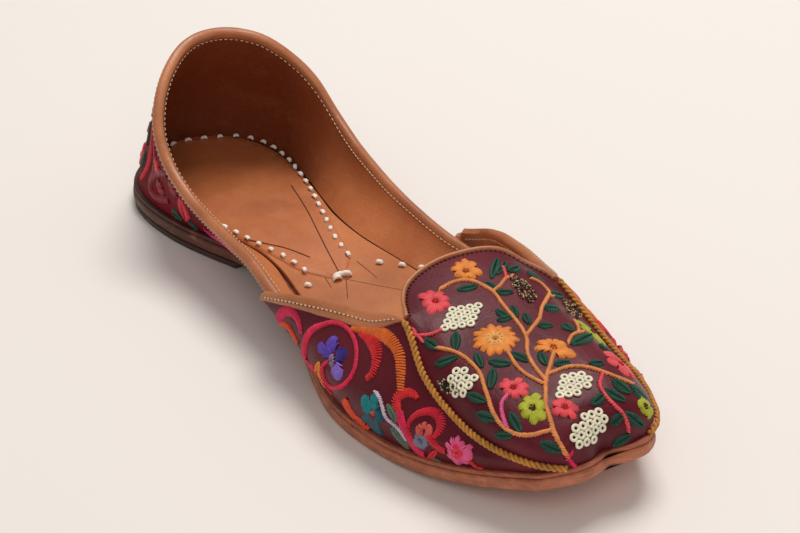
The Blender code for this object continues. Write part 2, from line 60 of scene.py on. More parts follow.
# along, lead, dent, foot, out, out_z, seam_r, seam_rz,
# seam_l, seam_lz, brow_r, brow_rz, brow_l, brow_lz, mid_z, crown_z
VAMP = [
    (0.0150, 0.0042, 0.0092, 0.030, 0.000, 0.440, 0.150, 0.440,
     0.167, 0.440, 0.130, 0.440, 0.145, 0.440, 0.440, 0.440),
    (0.0250, 0.0142, 0.0067, 0.030, 0.004, 0.450, 0.202, 0.468,
     0.216, 0.462, 0.176, 0.535, 0.186, 0.515, 0.565, 0.530),
    (0.0417, 0.0250, 0.0033, 0.027, 0.010, 0.430, 0.246, 0.480,
     0.258, 0.475, 0.224, 0.585, 0.227, 0.560, 0.655, 0.635),
    (0.0708, 0.0354, 0.0013, 0.025, 0.022, 0.410, 0.293, 0.492,
     0.302, 0.480, 0.274, 0.630, 0.268, 0.580, 0.730, 0.738),
    (0.1125, 0.0354, 0.0000, 0.022, 0.036, 0.385, 0.341, 0.520,
     0.356, 0.478, 0.312, 0.690, 0.295, 0.620, 0.795, 0.815),
    (0.1583, 0.0250, 0.0000, 0.022, 0.038, 0.385, 0.360, 0.588,
     0.387, 0.490, 0.312, 0.765, 0.304, 0.665, 0.845, 0.875),
    (0.2083, 0.0125, 0.0000, 0.022, 0.040, 0.390, 0.353, 0.708,
     0.402, 0.573, 0.294, 0.835, 0.315, 0.720, 0.885, 0.918),
    (0.2583, 0.0000, 0.0000, 0.022, 0.042, 0.400, 0.312, 0.920,
     0.383, 0.765, 0.249, 0.950, 0.301, 0.860, 0.960, 0.972),
    (0.3167, 0.0000, 0.0000, 0.022, 0.044, 0.405, 0.328, 0.835,
     0.425, 0.725, 0.260, 0.930, 0.328, 0.855, 0.985, 1.015),
    (0.3750, 0.0000, 0.0000, 0.022, 0.057, 0.390, 0.373, 0.767,
     0.470, 0.680, 0.287, 0.895, 0.369, 0.830, 0.975, 1.025),
    (0.4333, 0.0000, 0.0000, 0.022, 0.085, 0.370, 0.424, 0.690,
     0.490, 0.622, 0.328, 0.850, 0.397, 0.790, 0.950, 1.012),
    (0.4942, 0.0000, 0.0000, 0.022, 0.129, 0.350, 0.458, 0.573,
     0.471, 0.480, 0.369, 0.750, 0.397, 0.675, 0.900, 1.000),
    (0.5417, 0.0000, 0.0000, 0.022, 0.150, 0.335, 0.473, 0.500,
     0.465, 0.410, 0.383, 0.700, 0.397, 0.625, 0.850, 0.975)]
# Foot x and y, middle x, y and z, top x, y and z, from the right end round the heel to the left end
QUARTER = [
    (-0.250, 0.5042, -0.375, 0.5042, 0.315, -0.428, 0.5042, 0.540),
    (-0.226, 0.5667, -0.338, 0.5667, 0.340, -0.409, 0.5667, 0.605),
    (-0.187, 0.6250, -0.315, 0.6250, 0.360, -0.401, 0.6250, 0.622),
    (-0.192, 0.6792, -0.312, 0.6792, 0.370, -0.391, 0.6792, 0.640),
    (-0.236, 0.7333, -0.328, 0.7312, 0.405, -0.386, 0.7271, 0.708),
    (-0.281, 0.7833, -0.342, 0.7750, 0.470, -0.380, 0.7696, 0.840),
    (-0.305, 0.8333, -0.332, 0.8175, 0.545, -0.356, 0.8029, 1.010),
    (-0.306, 0.8833, -0.299, 0.8560, 0.610, -0.300, 0.8283, 1.165),
    (-0.273, 0.9250, -0.251, 0.8900, 0.670, -0.227, 0.8492, 1.285),
    (-0.200, 0.9584, -0.180, 0.9215, 0.710, -0.142, 0.8667, 1.375),
    (-0.094, 0.9818, -0.086, 0.9480, 0.750, -0.062, 0.8800, 1.417),
    (0.032, 0.9930, 0.034, 0.9617, 0.755, 0.021, 0.8871, 1.432),
    (0.159, 0.9826, 0.160, 0.9520, 0.750, 0.116, 0.8900, 1.415),
    (0.265, 0.9591, 0.272, 0.9320, 0.735, 0.208, 0.8825, 1.380),
    (0.333, 0.9250, 0.362, 0.8983, 0.710, 0.305, 0.8633, 1.305),
    (0.367, 0.8833, 0.408, 0.8592, 0.665, 0.393, 0.8404, 1.150),
    (0.365, 0.8333, 0.432, 0.8175, 0.585, 0.449, 0.8146, 0.980),
    (0.340, 0.7833, 0.428, 0.7750, 0.490, 0.479, 0.7812, 0.755),
    (0.299, 0.7333, 0.410, 0.7312, 0.410, 0.471, 0.7333, 0.630),
    (0.265, 0.6792, 0.379, 0.6792, 0.370, 0.446, 0.6792, 0.585),
    (0.259, 0.6250, 0.363, 0.6250, 0.345, 0.428, 0.6250, 0.540),
    (0.287, 0.5667, 0.369, 0.5667, 0.330, 0.427, 0.5667, 0.480),
    (0.320, 0.5042, 0.399, 0.5042, 0.305, 0.440, 0.5042, 0.425)]
# The tucked ends: place along, and height of the top on the right and on the left
TUCKED = [(0.3600, 0.410, 0.380), (0.4100, 0.425, 0.385), (0.4550, 0.450, 0.390)]
# Place along, half width right and left
PAD = [(0.5580, 0.040, 0.040), (0.5900, 0.105, 0.120), (0.6300, 0.135, 0.160), (0.6750, 0.165, 0.200),
       (0.7200, 0.190, 0.240), (0.7650, 0.218, 0.276), (0.8100, 0.240, 0.305), (0.8550, 0.250, 0.318),
       (0.8950, 0.238, 0.304), (0.9300, 0.196, 0.262), (0.9550, 0.135, 0.200), (0.9690, 0.062, 0.130)]
WING_START, WING_FOOT, WING_TIP, TONGUE_END = 0.2583, 0.4080, 0.4942, 0.3250
ROUND = np.array([0.0, 0.9, 2.2, 3.0, 4.0, 5.0, 6.0, 7.0, 7.8, 9.1, 10.0])
SEAM_R, CROWN, SEAM_L = ROUND[2], ROUND[5], ROUND[8]
CUFF_SHARE, BIND_SHARE = 0.36, 0.23

# The photograph's camera, solved in the frame of the shoe: its place in metres, and the directions
# of view, of the picture's right and of its downward side
FOCAL_PX, PHOTO_W, MID_X, MID_Y = 1839.83, 800.0, 400.0, 266.5
EYE, AHEAD = np.array([-0.33647, -0.55852, 0.40736]), np.array([0.403057, 0.748735, -0.526251])
RIGHT, DOWN = np.array([0.857408, -0.510001, -0.068923]), np.array([-0.319993, -0.423432, -0.847531])
# The picture point that the camera is turned to, and how much longer its lens gets
AIM_PX, ZOOM = (500.5, 232.0), 1.42
# A point of the picture well inside the shoe, the size of a pixel on the leather, and its limits
MIDDLE_PX = (505.0, 265.0)
PIXEL, PIXEL_MIN, PIXEL_MAX = 0.00043, 0.00030, 0.00080


# Curves and surfaces

def along_to_y(share):
    return share * LENGTH - CENTRE_Y


def hermite(t, h, start, end, leaving, arriving):
    """Cubic from start to end at the shares t of a step h, with its slopes at both ends."""
    return ((2 * t**3 - 3 * t**2 + 1) * start + (t**3 - 2 * t**2 + t) * h * leaving
            + (3 * t**2 - 2 * t**3) * end + (t**3 - t**2) * h * arriving)


def spline(knots, values, at):
    """Smooth curve through values at knots. values may hold one curve, or one per point of at."""
    knots = np.asarray(knots, float)
    values = np.asarray(values, float)
    at = np.clip(np.atleast_1d(np.asarray(at, float)), knots[0], knots[-1])
    shape = (-1,) + (1,) * (values.ndim - 1)
    step = np.diff(knots).reshape(shape)
    rate = np.diff(values, axis=0) / step
    inner = (rate[:-1] * step[1:] + rate[1:] * step[:-1]) / (step[:-1] + step[1:])
    slope = np.concatenate([rate[:1], inner, rate[-1:]])
    i = np.clip(np.searchsorted(knots, at, side="right") - 1, 0, len(knots) - 2)
    t = (at - knots[i]).reshape(shape) / step[i]
    return hermite(t, step[i], values[i], values[i + 1], slope[i], slope[i + 1])


def spline_each(knots, values, at):
    """As spline, where values[k] is the k-th point's own curve: (points, knots, 3)."""
    at = np.clip(np.asarray(at, float), knots[0], knots[-1])
    step = np.diff(knots)[:, None]
    rate = np.diff(values, axis=1) / step
    inner = (rate[:, :-1] * step[1:] + rate[:, 1:] * step[:-1]) / (step[:-1] + step[1:])
    slope = np.concatenate([rate[:, :1], inner, rate[:, -1:]], axis=1)
    i = np.clip(np.searchsorted(knots, at, side="right") - 1, 0, len(knots) - 2)
    k = np.arange(len(at))
    t = (at - knots[i])[:, None] / step[i]
    return hermite(t, step[i], values[k, i], values[k, i + 1], slope[k, i], slope[k, i + 1])


def column(table, index, at):
    data = np.array(table)
    return spline(data[:, 0], data[:, index], at)


def distances(points):
    """Distance along a line at each of its points."""
    return np.concatenate([[0.0], np.cumsum(np.linalg.norm(np.diff(points, axis=0), axis=1))])


def points_at(points, d, at):
    return np.stack([np.interp(at, d, points[:, k]) for k in range(points.shape[1])], 1)


def unit(rows, least=1e-12):
    """Each row with length one."""
    return rows / np.maximum(np.linalg.norm(rows, axis=1), least)[:, None]


def smooth_line(points, count):
    """Points evenly spaced by length along a smooth curve through the given ones."""
    points = np.asarray(points, float)
    d = distances(points)
    fine = spline(d, points, np.linspace(0, d[-1], 12 * len(points) + 60))
    d = distances(fine)
    return points_at(fine, d, np.linspace(0, d[-1], count))


def length_of(points):
    return float(np.linalg.norm(np.diff(np.asarray(points, float), axis=0), axis=1).sum())


def underside(along):
    along = np.asarray(along, float)
    toe = TOE_SPRING * np.clip((0.2583 - along) / 0.2583, 0, None) ** 1.8
    t = np.clip((along - 0.43) / 0.25, 0, 1)
    return toe + ARCH * t * t * (3 - 2 * t)


def foot_height(along):
    return underside(along) + OUTSOLE_T + WELT_T + 2 * GAP


def flanks(table, at):
    """Right and left side of an outline whose half widths stand in columns 1 and 2 of a table."""
    y = along_to_y(at)
    return [np.stack([sign * column(table, k, at) * BALL_W, y], 1) for sign, k in ((-1, 1), (1, 2))]


def moved_in(loop, distance):
    """A closed outline with each point moved inwards."""
    side = np.roll(loop, -1, 0) - np.roll(loop, 1, 0)
    side /= np.linalg.norm(side, axis=1)[:, None]
    inward = np.stack([-side[:, 1], side[:, 0]], 1)
    return loop + inward * np.broadcast_to(distance, len(loop))[:, None]


def outline(stations, inset=0.0):
    right, left = flanks(SOLE, stations)
    front = np.array([(x * BALL_W, along_to_y(y)) for x, y in TOE_FRONT])
    back = np.array([(x * BALL_W, along_to_y(y)) for x, y in HEEL_BACK])
    return moved_in(np.concatenate([left, back[::-1], right[::-1], front]), inset)


def vamp_net():
    lean = np.array([0.0, 0.2, 0.45, 0.7, 0.9, 1.0, 0.9, 0.7, 0.45, 0.2, 0.0])
    net, places = [], []
    for (along, lead, dent, foot, out, out_z, seam_r, seam_rz, seam_l, seam_lz,
         brow_r, brow_rz, brow_l, brow_lz, mid_z, crown_z) in VAMP:
        right = column(SOLE, 1, along)[0] - foot
        left = column(SOLE, 2, along)[0] - foot
        x = [-right, -right - out, -seam_r, -brow_r, -0.5 * seam_r, 0.1 * (seam_l - seam_r),
             0.5 * seam_l, brow_l, seam_l, left + out, left]
        z = [0.0, out_z, seam_rz, brow_rz, mid_z, crown_z, mid_z, brow_lz, seam_lz, out_z, 0.0]
        y = along - lead * lean
        y[5] += dent
        low = foot_height(y)
        net.append([(x[k] * BALL_W, along_to_y(y[k]), max(z[k] * THROAT_H, low[k])) for k in range(11)])
        places.append(along - 0.5 * lead)
    return np.array(places), np.array(net)


def quarter_net(places, net):
    def tucked(along, top, sign):
        section = spline(places, net, along)[0]
        p = np.linspace(0.0, SEAM_R, 45) if sign < 0 else np.linspace(ROUND[-1], SEAM_L, 45)
        curve = spline(ROUND, section, p)
        rib = []
        for z in (curve[0, 2], 0.5 * (curve[0, 2] + top * THROAT_H), top * THROAT_H):
            rib.append((np.interp(z, curve[:, 2], curve[:, 0]) - sign * TUCK, along_to_y(along), z))
        return rib

    ribs = [tucked(along, right, -1) for along, right, _ in TUCKED]
    for fx, fy, mx, my, mz, tx, ty, tz in QUARTER:
        ribs.append([(fx * BALL_W, along_to_y(fy), foot_height(fy)),
                     (mx * BALL_W, along_to_y(my), mz * THROAT_H),
                     (tx * BALL_W, along_to_y(ty), tz * THROAT_H)])
    ribs += [tucked(along, left, 1) for along, _, left in TUCKED[::-1]]
    ribs = np.array(ribs)
    run = np.linalg.norm(np.diff(ribs.mean(axis=1), axis=0), axis=1)
    return np.concatenate([[0.0], np.cumsum(run)]), ribs


class Surface:
    """A smooth surface through a net of control points; points and normals for many places at once."""

    def __init__(self, rows, columns, net):
        self.rows, self.columns, self.net = np.asarray(rows), np.asarray(columns), np.asarray(net)

    def points(self, places):
        places = np.asarray(places, float)
        lines = spline(self.rows, self.net, places[:, 0])
        return spline_each(self.columns, lines, places[:, 1])

    def normals(self, places):
        places = np.asarray(places, float)
        da = 0.002 * (self.rows[-1] - self.rows[0])
        db = 0.002 * (self.columns[-1] - self.columns[0])
        a, b = places[:, 0], places[:, 1]
        a0, a1 = np.maximum(a - da, self.rows[0]), np.minimum(a + da, self.rows[-1])
        b0, b1 = np.maximum(b - db, self.columns[0]), np.minimum(b + db, self.columns[-1])
        across = self.points(np.stack([a, b1], 1)) - self.points(np.stack([a, b0], 1))
        down = self.points(np.stack([a1, b], 1)) - self.points(np.stack([a0, b], 1))
        return unit(np.cross(across, down))


# Meshes

def put(name, data):
    obj = bpy.data.objects.new(name, data)
    bpy.context.scene.collection.objects.link(obj)
    return obj


def make(name, verts, faces, materials, face_slots=None, sharp=45.0):
    mesh = bpy.data.meshes.new(name)
    mesh.from_pydata([tuple(map(float, v)) for v in verts], [], [tuple(map(int, f)) for f in faces])
    for m in materials:
        mesh.materials.append(m)
    if face_slots is not None:
        mesh.polygons.foreach_set("material_index", np.asarray(face_slots, np.int32))
    mesh.validate()
    mesh.shade_smooth()
    if sharp < 180:
        mesh.set_sharp_from_angle(angle=math.radians(sharp))
    mesh.update()
    obj = put(name, mesh)
    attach(obj, "root")
    return obj


def grid(rows, cols):
    return [(r * cols + c, r * cols + c + 1, (r + 1) * cols + c + 1, (r + 1) * cols + c)
            for r in range(rows - 1) for c in range(cols - 1)]


def hoops(count, k):
    """Faces from each closed ring of k points to the next."""
    return [(r * k + c, r * k + (c + 1) % k, (r + 1) * k + (c + 1) % k, (r + 1) * k + c)
            for r in range(count - 1) for c in range(k)]


def tube_hoops(count, k):
    """The same, facing the other way."""
    return [(a, d, c, b) for a, b, c, d in hoops(count, k)]


def weld(points, quads):
    keys, order, index = {}, [], []
    for i, key in enumerate(map(tuple, np.round(points * 1e7).astype(int))):
        if key not in keys:
            keys[key] = len(order)
            order.append(i)
        index.append(keys[key])
    faces = []
    for quad in quads:
        face = []
        for i in quad:
            if index[i] not in face:
                face.append(index[i])
        if len(face) > 2:
            faces.append(tuple(face))
    return order, faces


def shell(name, surface, places, quads, materials):
    """A closed skin from the surface inwards: slot 0 outside, 1 inside, 2 round its edges."""
    places = np.asarray(places, float)
    order, faces = weld(surface.points(places), quads)
    places = places[order]
    points, normals = surface.points(places), surface.normals(places)
    n = len(order)
    verts = np.concatenate([points, points - normals * WALL])
    verts[:, 2] = np.maximum(verts[:, 2], foot_height((verts[:, 1] + CENTRE_Y) / LENGTH))
    edges = {(i, j) for face in faces for i, j in zip(face, face[1:] + face[:1])}
    rim = [(j, i, n + i, n + j) for i, j in sorted(edges) if (j, i) not in edges]
    solid = list(faces) + [tuple(n + i for i in reversed(f)) for f in faces] + rim
    slots = [0] * len(faces) + [1] * len(faces) + [2] * len(rim)
    obj = make(name, verts, solid, materials, slots)
    return obj, places, points, faces


def band(name, surface, edges, rows, loop, material):
    """A strip lying along the surface: edges(a) gives its two sides, loop its closed section as shares
    across and heights over the surface."""
    places, lift = [], []
    for a in rows:
        low, high = edges(a)
        places += [(a, low + (high - low) * s) for s, _ in loop]
        lift += [h for _, h in loop]
    at = np.array(places)
    verts = surface.points(at) + surface.normals(at) * np.array(lift)[:, None]
    k = len(loop)
    faces = [tuple(reversed(range(k)))] + hoops(len(rows), k)
    faces.append(tuple((len(rows) - 1) * k + c for c in range(k)))
    return make(name, verts, faces, [material], sharp=70)


def sheet(name, rings, count, front, back, material):
    """A flat layer of rings, each a closed outline of one length; its two faces are filled in strips."""
    ring = len(rings[0])
    left = range(count)
    right = [2 * count + back - 1 - i for i in range(count)]
    cap = [(right[i], left[i], left[i + 1], right[i + 1]) for i in range(count - 1)]
    cap.append((left[-1], *range(count, count + back), right[-1]))
    if front:
        cap.append((right[0], *range(2 * count + back, 2 * count + back + front), left[0]))
    top = (len(rings) - 1) * ring
    faces = [f[::-1] for f in cap] + hoops(len(rings), ring) + [tuple(top + i for i in f) for f in cap]
    return make(name, np.concatenate(rings), faces, [material], sharp=50)


def tube(path, radius, sides, up=(0.0, 0.0, 1.0)):
    """Vertices and faces of a round tube along a path of points, its ends closed."""
    path = np.asarray(path, float)
    tangent = unit(np.gradient(path, axis=0))
    side = unit(np.cross(tangent, np.broadcast_to(up, path.shape)), 1e-9)
    over = np.cross(side, tangent)
    turn = np.linspace(0, 2 * np.pi, sides, endpoint=False)
    ring = path[:, None, :] + radius * (np.cos(turn)[None, :, None] * side[:, None, :]
                                        + np.sin(turn)[None, :, None] * over[:, None, :])
    n = len(path)
    ends = [tuple(range(sides)), tuple((n - 1) * sides + j for j in reversed(range(sides)))]
    return ring.reshape(-1, 3), tube_hoops(n, sides) + ends


class Bag:
    """Collects small meshes that become one object."""

    def __init__(self):
        self.verts, self.faces, self.count = [], [], 0

    def add(self, verts, faces):
        verts = np.asarray(verts, float)
        self.verts.append(verts)
        self.faces += [tuple(self.count + i for i in f) for f in faces]
        self.count += len(verts)

    def make(self, name, material, slot):
        obj = make(name, np.concatenate(self.verts), self.faces, [material], sharp=180)
        return obj


# Materials

def linear(r, g, b):
    """Linear colour from 0 to 255 screen values."""
    c = np.array([r, g, b]) / 255.0
    return tuple(np.where(c <= 0.04045, c / 12.92, ((c + 0.055) / 1.055) ** 2.4)) + (1.0,)


def toned(colour, times, plus=0.0):
    """A linear colour made darker or lighter."""
    return tuple(min(1.0, c * times + plus) for c in colour[:3]) + (1.0,)


class Nodes:
    """Short names for building a material's nodes."""

    def __init__(self, name):
        self.material = bpy.data.materials.new(name)
        self.material.use_nodes = True
        self.tree = self.material.node_tree
        self.shader = self.tree.nodes["Principled BSDF"]
        self.where = self.node("ShaderNodeTexCoord").outputs["Object"]

    def node(self, kind, **inputs):
        node = self.tree.nodes.new(kind)
        for key, value in inputs.items():
            self.plug(node.inputs[key.replace("_", " ")], value)
        return node

    def plug(self, socket, value):
        if isinstance(value, bpy.types.NodeSocket):
            self.tree.links.new(value, socket)
        else:
            socket.default_value = value

    def noise(self, scale, detail=3.0, rough=0.5, where=None):
        return self.node("ShaderNodeTexNoise", Scale=scale, Detail=detail, Roughness=rough,
                         Vector=where or self.where).outputs["Fac"]

    def cells(self, scale):
        return self.node("ShaderNodeTexVoronoi", Scale=scale, Vector=self.where).outputs["Distance"]

    def span(self, value, low, high, to_low=0.0, to_high=1.0):
        return self.node("ShaderNodeMapRange", Value=value, From_Min=low, From_Max=high,
                         To_Min=to_low, To_Max=to_high).outputs["Result"]

    def mix(self, factor, a, b):
        node = self.tree.nodes.new("ShaderNodeMix")
        node.data_type = "RGBA"
        self.plug(node.inputs[0], factor)
        self.plug(node.inputs[6], a)
        self.plug(node.inputs[7], b)
        return node.outputs[2]

    def lengthwise(self):
        return self.node("ShaderNodeSeparateXYZ", Vector=self.where).outputs["Y"]

    def stretched(self, x, y, z):
        return self.node("ShaderNodeMapping", Vector=self.where, Scale=(x, y, z)).outputs["Vector"]

    def bump(self, height, distance, strength, below=None):
        node = self.node("ShaderNodeBump", Height=height, Distance=distance, Strength=strength)
        if below is not None:
            self.plug(node.inputs["Normal"], below)
        return node.outputs["Normal"]

    def finish(self, colour, roughness, normal=None, **constants):
        self.plug(self.shader.inputs["Base Color"], colour)
        self.plug(self.shader.inputs["Roughness"], roughness)
        if normal is not None:
            self.plug(self.shader.inputs["Normal"], normal)
        for key, value in constants.items():
            self.shader.inputs[key.replace("_", " ")].default_value = value
        return self.material


def leather(name, base, dark, light, rough=0.42, grain=1500.0, depth=0.00006, scuff=0.25, coat=0.0,
            blotch=38.0, shine=0.5, painted_shade=None):
    """Smooth finished leather: blotches of tone, fine grain, creases and a softly uneven gloss.
    The last argument, a colour and two places along the shoe, is painted shade: that colour comes in between
    the two places."""
    n = Nodes(name)
    base, dark, light = linear(*base), linear(*dark), linear(*light)
    tone = n.span(n.noise(blotch, 5.0, 0.62), 0.30, 0.72)
    colour = n.mix(tone, dark, base)
    # painted shade: between the two places the colour goes over to the darker one
    if painted_shade is not None:
        colour = n.mix(n.span(n.lengthwise(), painted_shade[1], painted_shade[2]), colour, linear(*painted_shade[0]))
    worn = n.span(n.noise(blotch * 2.6, 8.0, 0.72), 0.52, 0.80, 0.0, scuff)
    colour = n.mix(worn, colour, light)
    pores = n.cells(grain)
    fine = n.noise(grain * 0.55, 6.0, 0.7)
    colour = n.mix(n.span(pores, 0.0, 0.55, 0.16, 0.0), colour, dark)
    folds = n.noise(110.0, 4.0, 0.6, n.stretched(1.0, 0.35, 1.0))
    normal = n.bump(folds, 0.0009, 0.35)
    normal = n.bump(fine, depth * 1.6, 0.6, normal)
    normal = n.bump(pores, depth, 0.8, normal)
    gloss = n.span(n.noise(170.0, 4.0, 0.6), 0.35, 0.70, rough - 0.06, rough + 0.10)
    return n.finish(colour, gloss, normal, Coat_Weight=coat, Coat_Roughness=0.3, Specular_IOR_Level=shine)


def thread(name, colour, shade, gloss):
    """Embroidery thread: fine twisted filaments, a darker tone here and there and a soft shine."""
    n = Nodes(name)
    colour = linear(*colour)
    ply = n.noise(2600.0, 3.0, 0.6)
    tone = n.span(n.noise(420.0, 4.0, 0.6), 0.30, 0.72)
    base = n.mix(tone, toned(colour, shade), colour)
    base = n.mix(n.span(ply, 0.38, 0.70, 0.0, 0.30), base, toned(colour, 1.35, 0.02))
    normal = n.bump(ply, 0.00012, 0.8)
    return n.finish(base, gloss, normal, Sheen_Weight=0.04, Sheen_Roughness=0.4, Specular_IOR_Level=0.28)


def sole_leather(name, front, back, groove):
    """Cut edge of a leather sole: layered fibres, and painted shade that darkens it towards the heel."""
    n = Nodes(name)
    front, back, groove = linear(*front), linear(*back), linear(*groove)
    # painted shade: from front, the lit colour, to back, a shaded colour, towards the heel
    along = n.span(n.lengthwise(), -0.02, 0.07)
    layers = n.noise(900.0, 4.0, 0.65, n.stretched(0.25, 0.25, 2.4))
    base = n.mix(along, front, back)
    base = n.mix(n.span(layers, 0.40, 0.72, 0.0, 0.55), base, groove)
    patch = n.span(n.noise(70.0, 6.0, 0.7), 0.45, 0.75, 0.0, 0.55)
    base = n.mix(patch, base, groove)
    light = n.span(n.noise(150.0, 5.0, 0.7), 0.56, 0.80, 0.0, 0.5)
    base = n.mix(light, base, toned(front, 1.5, 0.03))
    normal = n.bump(layers, 0.00025, 0.8)
    normal = n.bump(n.noise(2200.0, 3.0, 0.6), 0.0001, 0.6, normal)
    return n.finish(base, n.span(layers, 0.3, 0.7, 0.45, 0.68), normal)


# The form

places, net = vamp_net()
TOP = Surface(places, ROUND, net)
ribs, rib_net = quarter_net(places, net)
BACK = Surface(ribs, np.array([0.0, 0.45, 1.0]), rib_net)

MAROON = leather("maroon_leather", (106, 27, 40), (78, 14, 25), (134, 58, 68), 0.38, 1700.0, 0.00005, 0.10,
                 shine=0.20)
MAROON_BACK = leather("maroon_back", (122, 12, 30), (92, 6, 18), (132, 26, 42), 0.62, 1700.0, 0.00005, 0.10,
                      shine=0.06)
# The lining goes dark towards the heel: painted shade of the heel cup's inside
LINING = leather("lining_leather", (214, 132, 78), (186, 104, 58), (226, 150, 98), 0.52, 1500.0, 0.00007,
                 0.18, painted_shade=((124, 58, 28), 0.030, 0.085))
BINDING = leather("binding_leather", (202, 126, 78), (158, 88, 50), (222, 160, 118), 0.42, 1500.0, 0.00006,
                  0.30, 0.1)
SOCK = leather("sock_leather", (204, 124, 72), (166, 94, 50), (218, 146, 96), 0.46, 1300.0, 0.00007, 0.25,
               0.08, 30.0)
PAD_SKIN = leather("pad_leather", (204, 122, 72), (166, 92, 50), (218, 144, 96), 0.44, 1300.0, 0.00007, 0.25,
                   0.1, 34.0)
# The edges go darker towards the heel: painted shade
SOLE_EDGE = sole_leather("outsole_leather", (200, 120, 84), (88, 52, 38), (98, 54, 38))
WELT_EDGE = sole_leather("welt_leather", (186, 104, 74), (70, 36, 26), (66, 32, 22))
HEEL_EDGE = sole_leather("heel_leather", (110, 70, 52), (70, 42, 32), (52, 30, 22))
ROPE = thread("cord_thread", (216, 146, 62), 0.40, 0.5)
CREAM = thread("cream_thread", (232, 206, 168), 0.7, 0.5)
WHITE = thread("white_lace", (255, 244, 230), 0.90, 0.5)

# Finer stations and ends of the sole's outline
FINE_STATIONS = np.unique(np.concatenate([np.linspace(0.0140, 0.0830, 22), np.linspace(0.0830, 0.9250, 150),
                                          np.linspace(0.9250, 0.9790, 18)]))
TOE_FRONT = [tuple(p) for p in smooth_line([(-0.185, 0.0140)] + TOE_FRONT + [(0.212, 0.0140)], 35)[1:-1]]
HEEL_BACK = [tuple(p) for p in smooth_line([(-0.150, 0.9790)] + HEEL_BACK + [(0.228, 0.9790)], 23)[1:-1]]
SOCK_LOW = OUTSOLE_T + WELT_T + 2 * GAP


def layer(name, node, inset, low, high, ease, material):
    """A flat layer that follows the underside of the sole, its edges rounded by ease."""
    plain = outline(FINE_STATIONS)
    base = underside((plain[:, 1] + CENTRE_Y) / LENGTH)
    turn = np.linspace(0, np.pi / 2, 4)
    steps = [(ease * (1 - np.sin(t)), low + ease * (1 - np.cos(t))) for t in turn]
    steps += [(ease * (1 - np.cos(t)), high - ease * (1 - np.sin(t))) for t in turn]
    rings = [np.column_stack([outline(FINE_STATIONS, inset + more), base + z]) for more, z in steps]
    obj = sheet(name, rings, len(FINE_STATIONS), len(TOE_FRONT), len(HEEL_BACK), material)
    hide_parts(node)


def build_sole():
    layer("sole_outer", "outsole", 0.0, 0.0, OUTSOLE_T, 0.0011, SOLE_EDGE)
    seam = 0.00022
    low = OUTSOLE_T + seam
    layer("sole_welt", "welt", 0.00035, low, low + WELT_T + seam, 0.00055, WELT_EDGE)
    plain = outline(FINE_STATIONS)
    deep = column(SOLE, 3, (plain[:, 1] + CENTRE_Y) / LENGTH) * BALL_W - 0.0006
    layer("sock", "insole", deep, SOCK_LOW, SOCK_LOW + SOCK_T, 0.0004, SOCK)
    stations = np.linspace(0.700, 0.979, 60)
    rings = []
    for more, z in ((0.0004, 0.0), (0.0, 0.0004), (0.0, ARCH - GAP - 0.0003), (0.0003, ARCH - GAP)):
        loop = outline(stations, GAP + more)[:2 * len(stations) + len(HEEL_BACK)]
        loop[0, 1] = loop[-1, 1] = along_to_y(stations[0]) + more
        rings.append(np.column_stack([loop, np.full(len(loop), z)]))
    lift = sheet("heel_piece", rings, len(stations), 0, len(HEEL_BACK), HEEL_EDGE)
    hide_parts("heel_lift")


def pad_outline(inset):
    data = np.array(PAD)
    first, last = data[0, 0], data[-1, 0]
    before, after = 0.010, 0.006
    ends = np.concatenate([[first], np.linspace(first + 0.004, last, 59)])
    right, left = flanks(PAD, ends)
    tip = np.array([[0.0, along_to_y(first - before)]])
    back = np.array([[0.0021, along_to_y(last + after)]])
    loop = smooth_line(np.concatenate([tip, left, back, right[::-1], tip]), 161)[:-1]
    share = (loop[:, 1] + CENTRE_Y) / LENGTH
    widths = [0.0, *data[:, 1:].mean(axis=1), 0.0]
    half = np.interp(share, [first - before, *data[:, 0], last + after], widths)
    return moved_in(loop, np.minimum(inset, 0.5 * half * BALL_W))


def sock_height(xy, over=0.0):
    """Top of the sock under a plan point."""
    return underside((np.asarray(xy)[:, 1] + CENTRE_Y) / LENGTH) + SOCK_LOW + SOCK_T + over


def build_pad():
    """The heel pad: a thin crowned leaf of leather over the sock."""
    rings = []
    for inset, lift in ((-0.0003, -0.0004), (0.0, PAD_T * 0.35), (0.0006, PAD_T * 0.72),
                        (0.0016, PAD_T * 0.92), (0.0040, PAD_T), (0.0080, PAD_T)):
        flat = pad_outline(inset)
        rings.append(np.column_stack([flat, sock_height(flat, lift)]))
    ring = len(rings[0])
    faces = [tuple(reversed(range(ring)))] + hoops(len(rings), ring)
    top = (len(rings) - 1) * ring
    half = ring // 2
    faces += [(top + (ring - i) % ring, top + i, top + i + 1, top + ring - i - 1) for i in range(1, half - 1)]
    faces += [(top, top + 1, top + ring - 1), (top + half - 1, top + half, top + half + 1)]
    pad = make("pad", np.concatenate(rings), faces, [PAD_SKIN], sharp=60)
    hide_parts("heel_pad")


def cuff_edge(a):
    t = np.clip((a - WING_START) / 0.05, 0, 1)
    return CUFF_SHARE * t * (2 - t)


def tongue_edge(b, inset):
    half = SEAM_L - CROWN - inset
    q = np.clip(abs(b - CROWN) / half, 0, 1)
    reach = (TONGUE_END - WING_START) * (1 - inset / (SEAM_L - CROWN) * 0.85)
    return WING_START + reach * (1 - q**1.8) ** 0.85


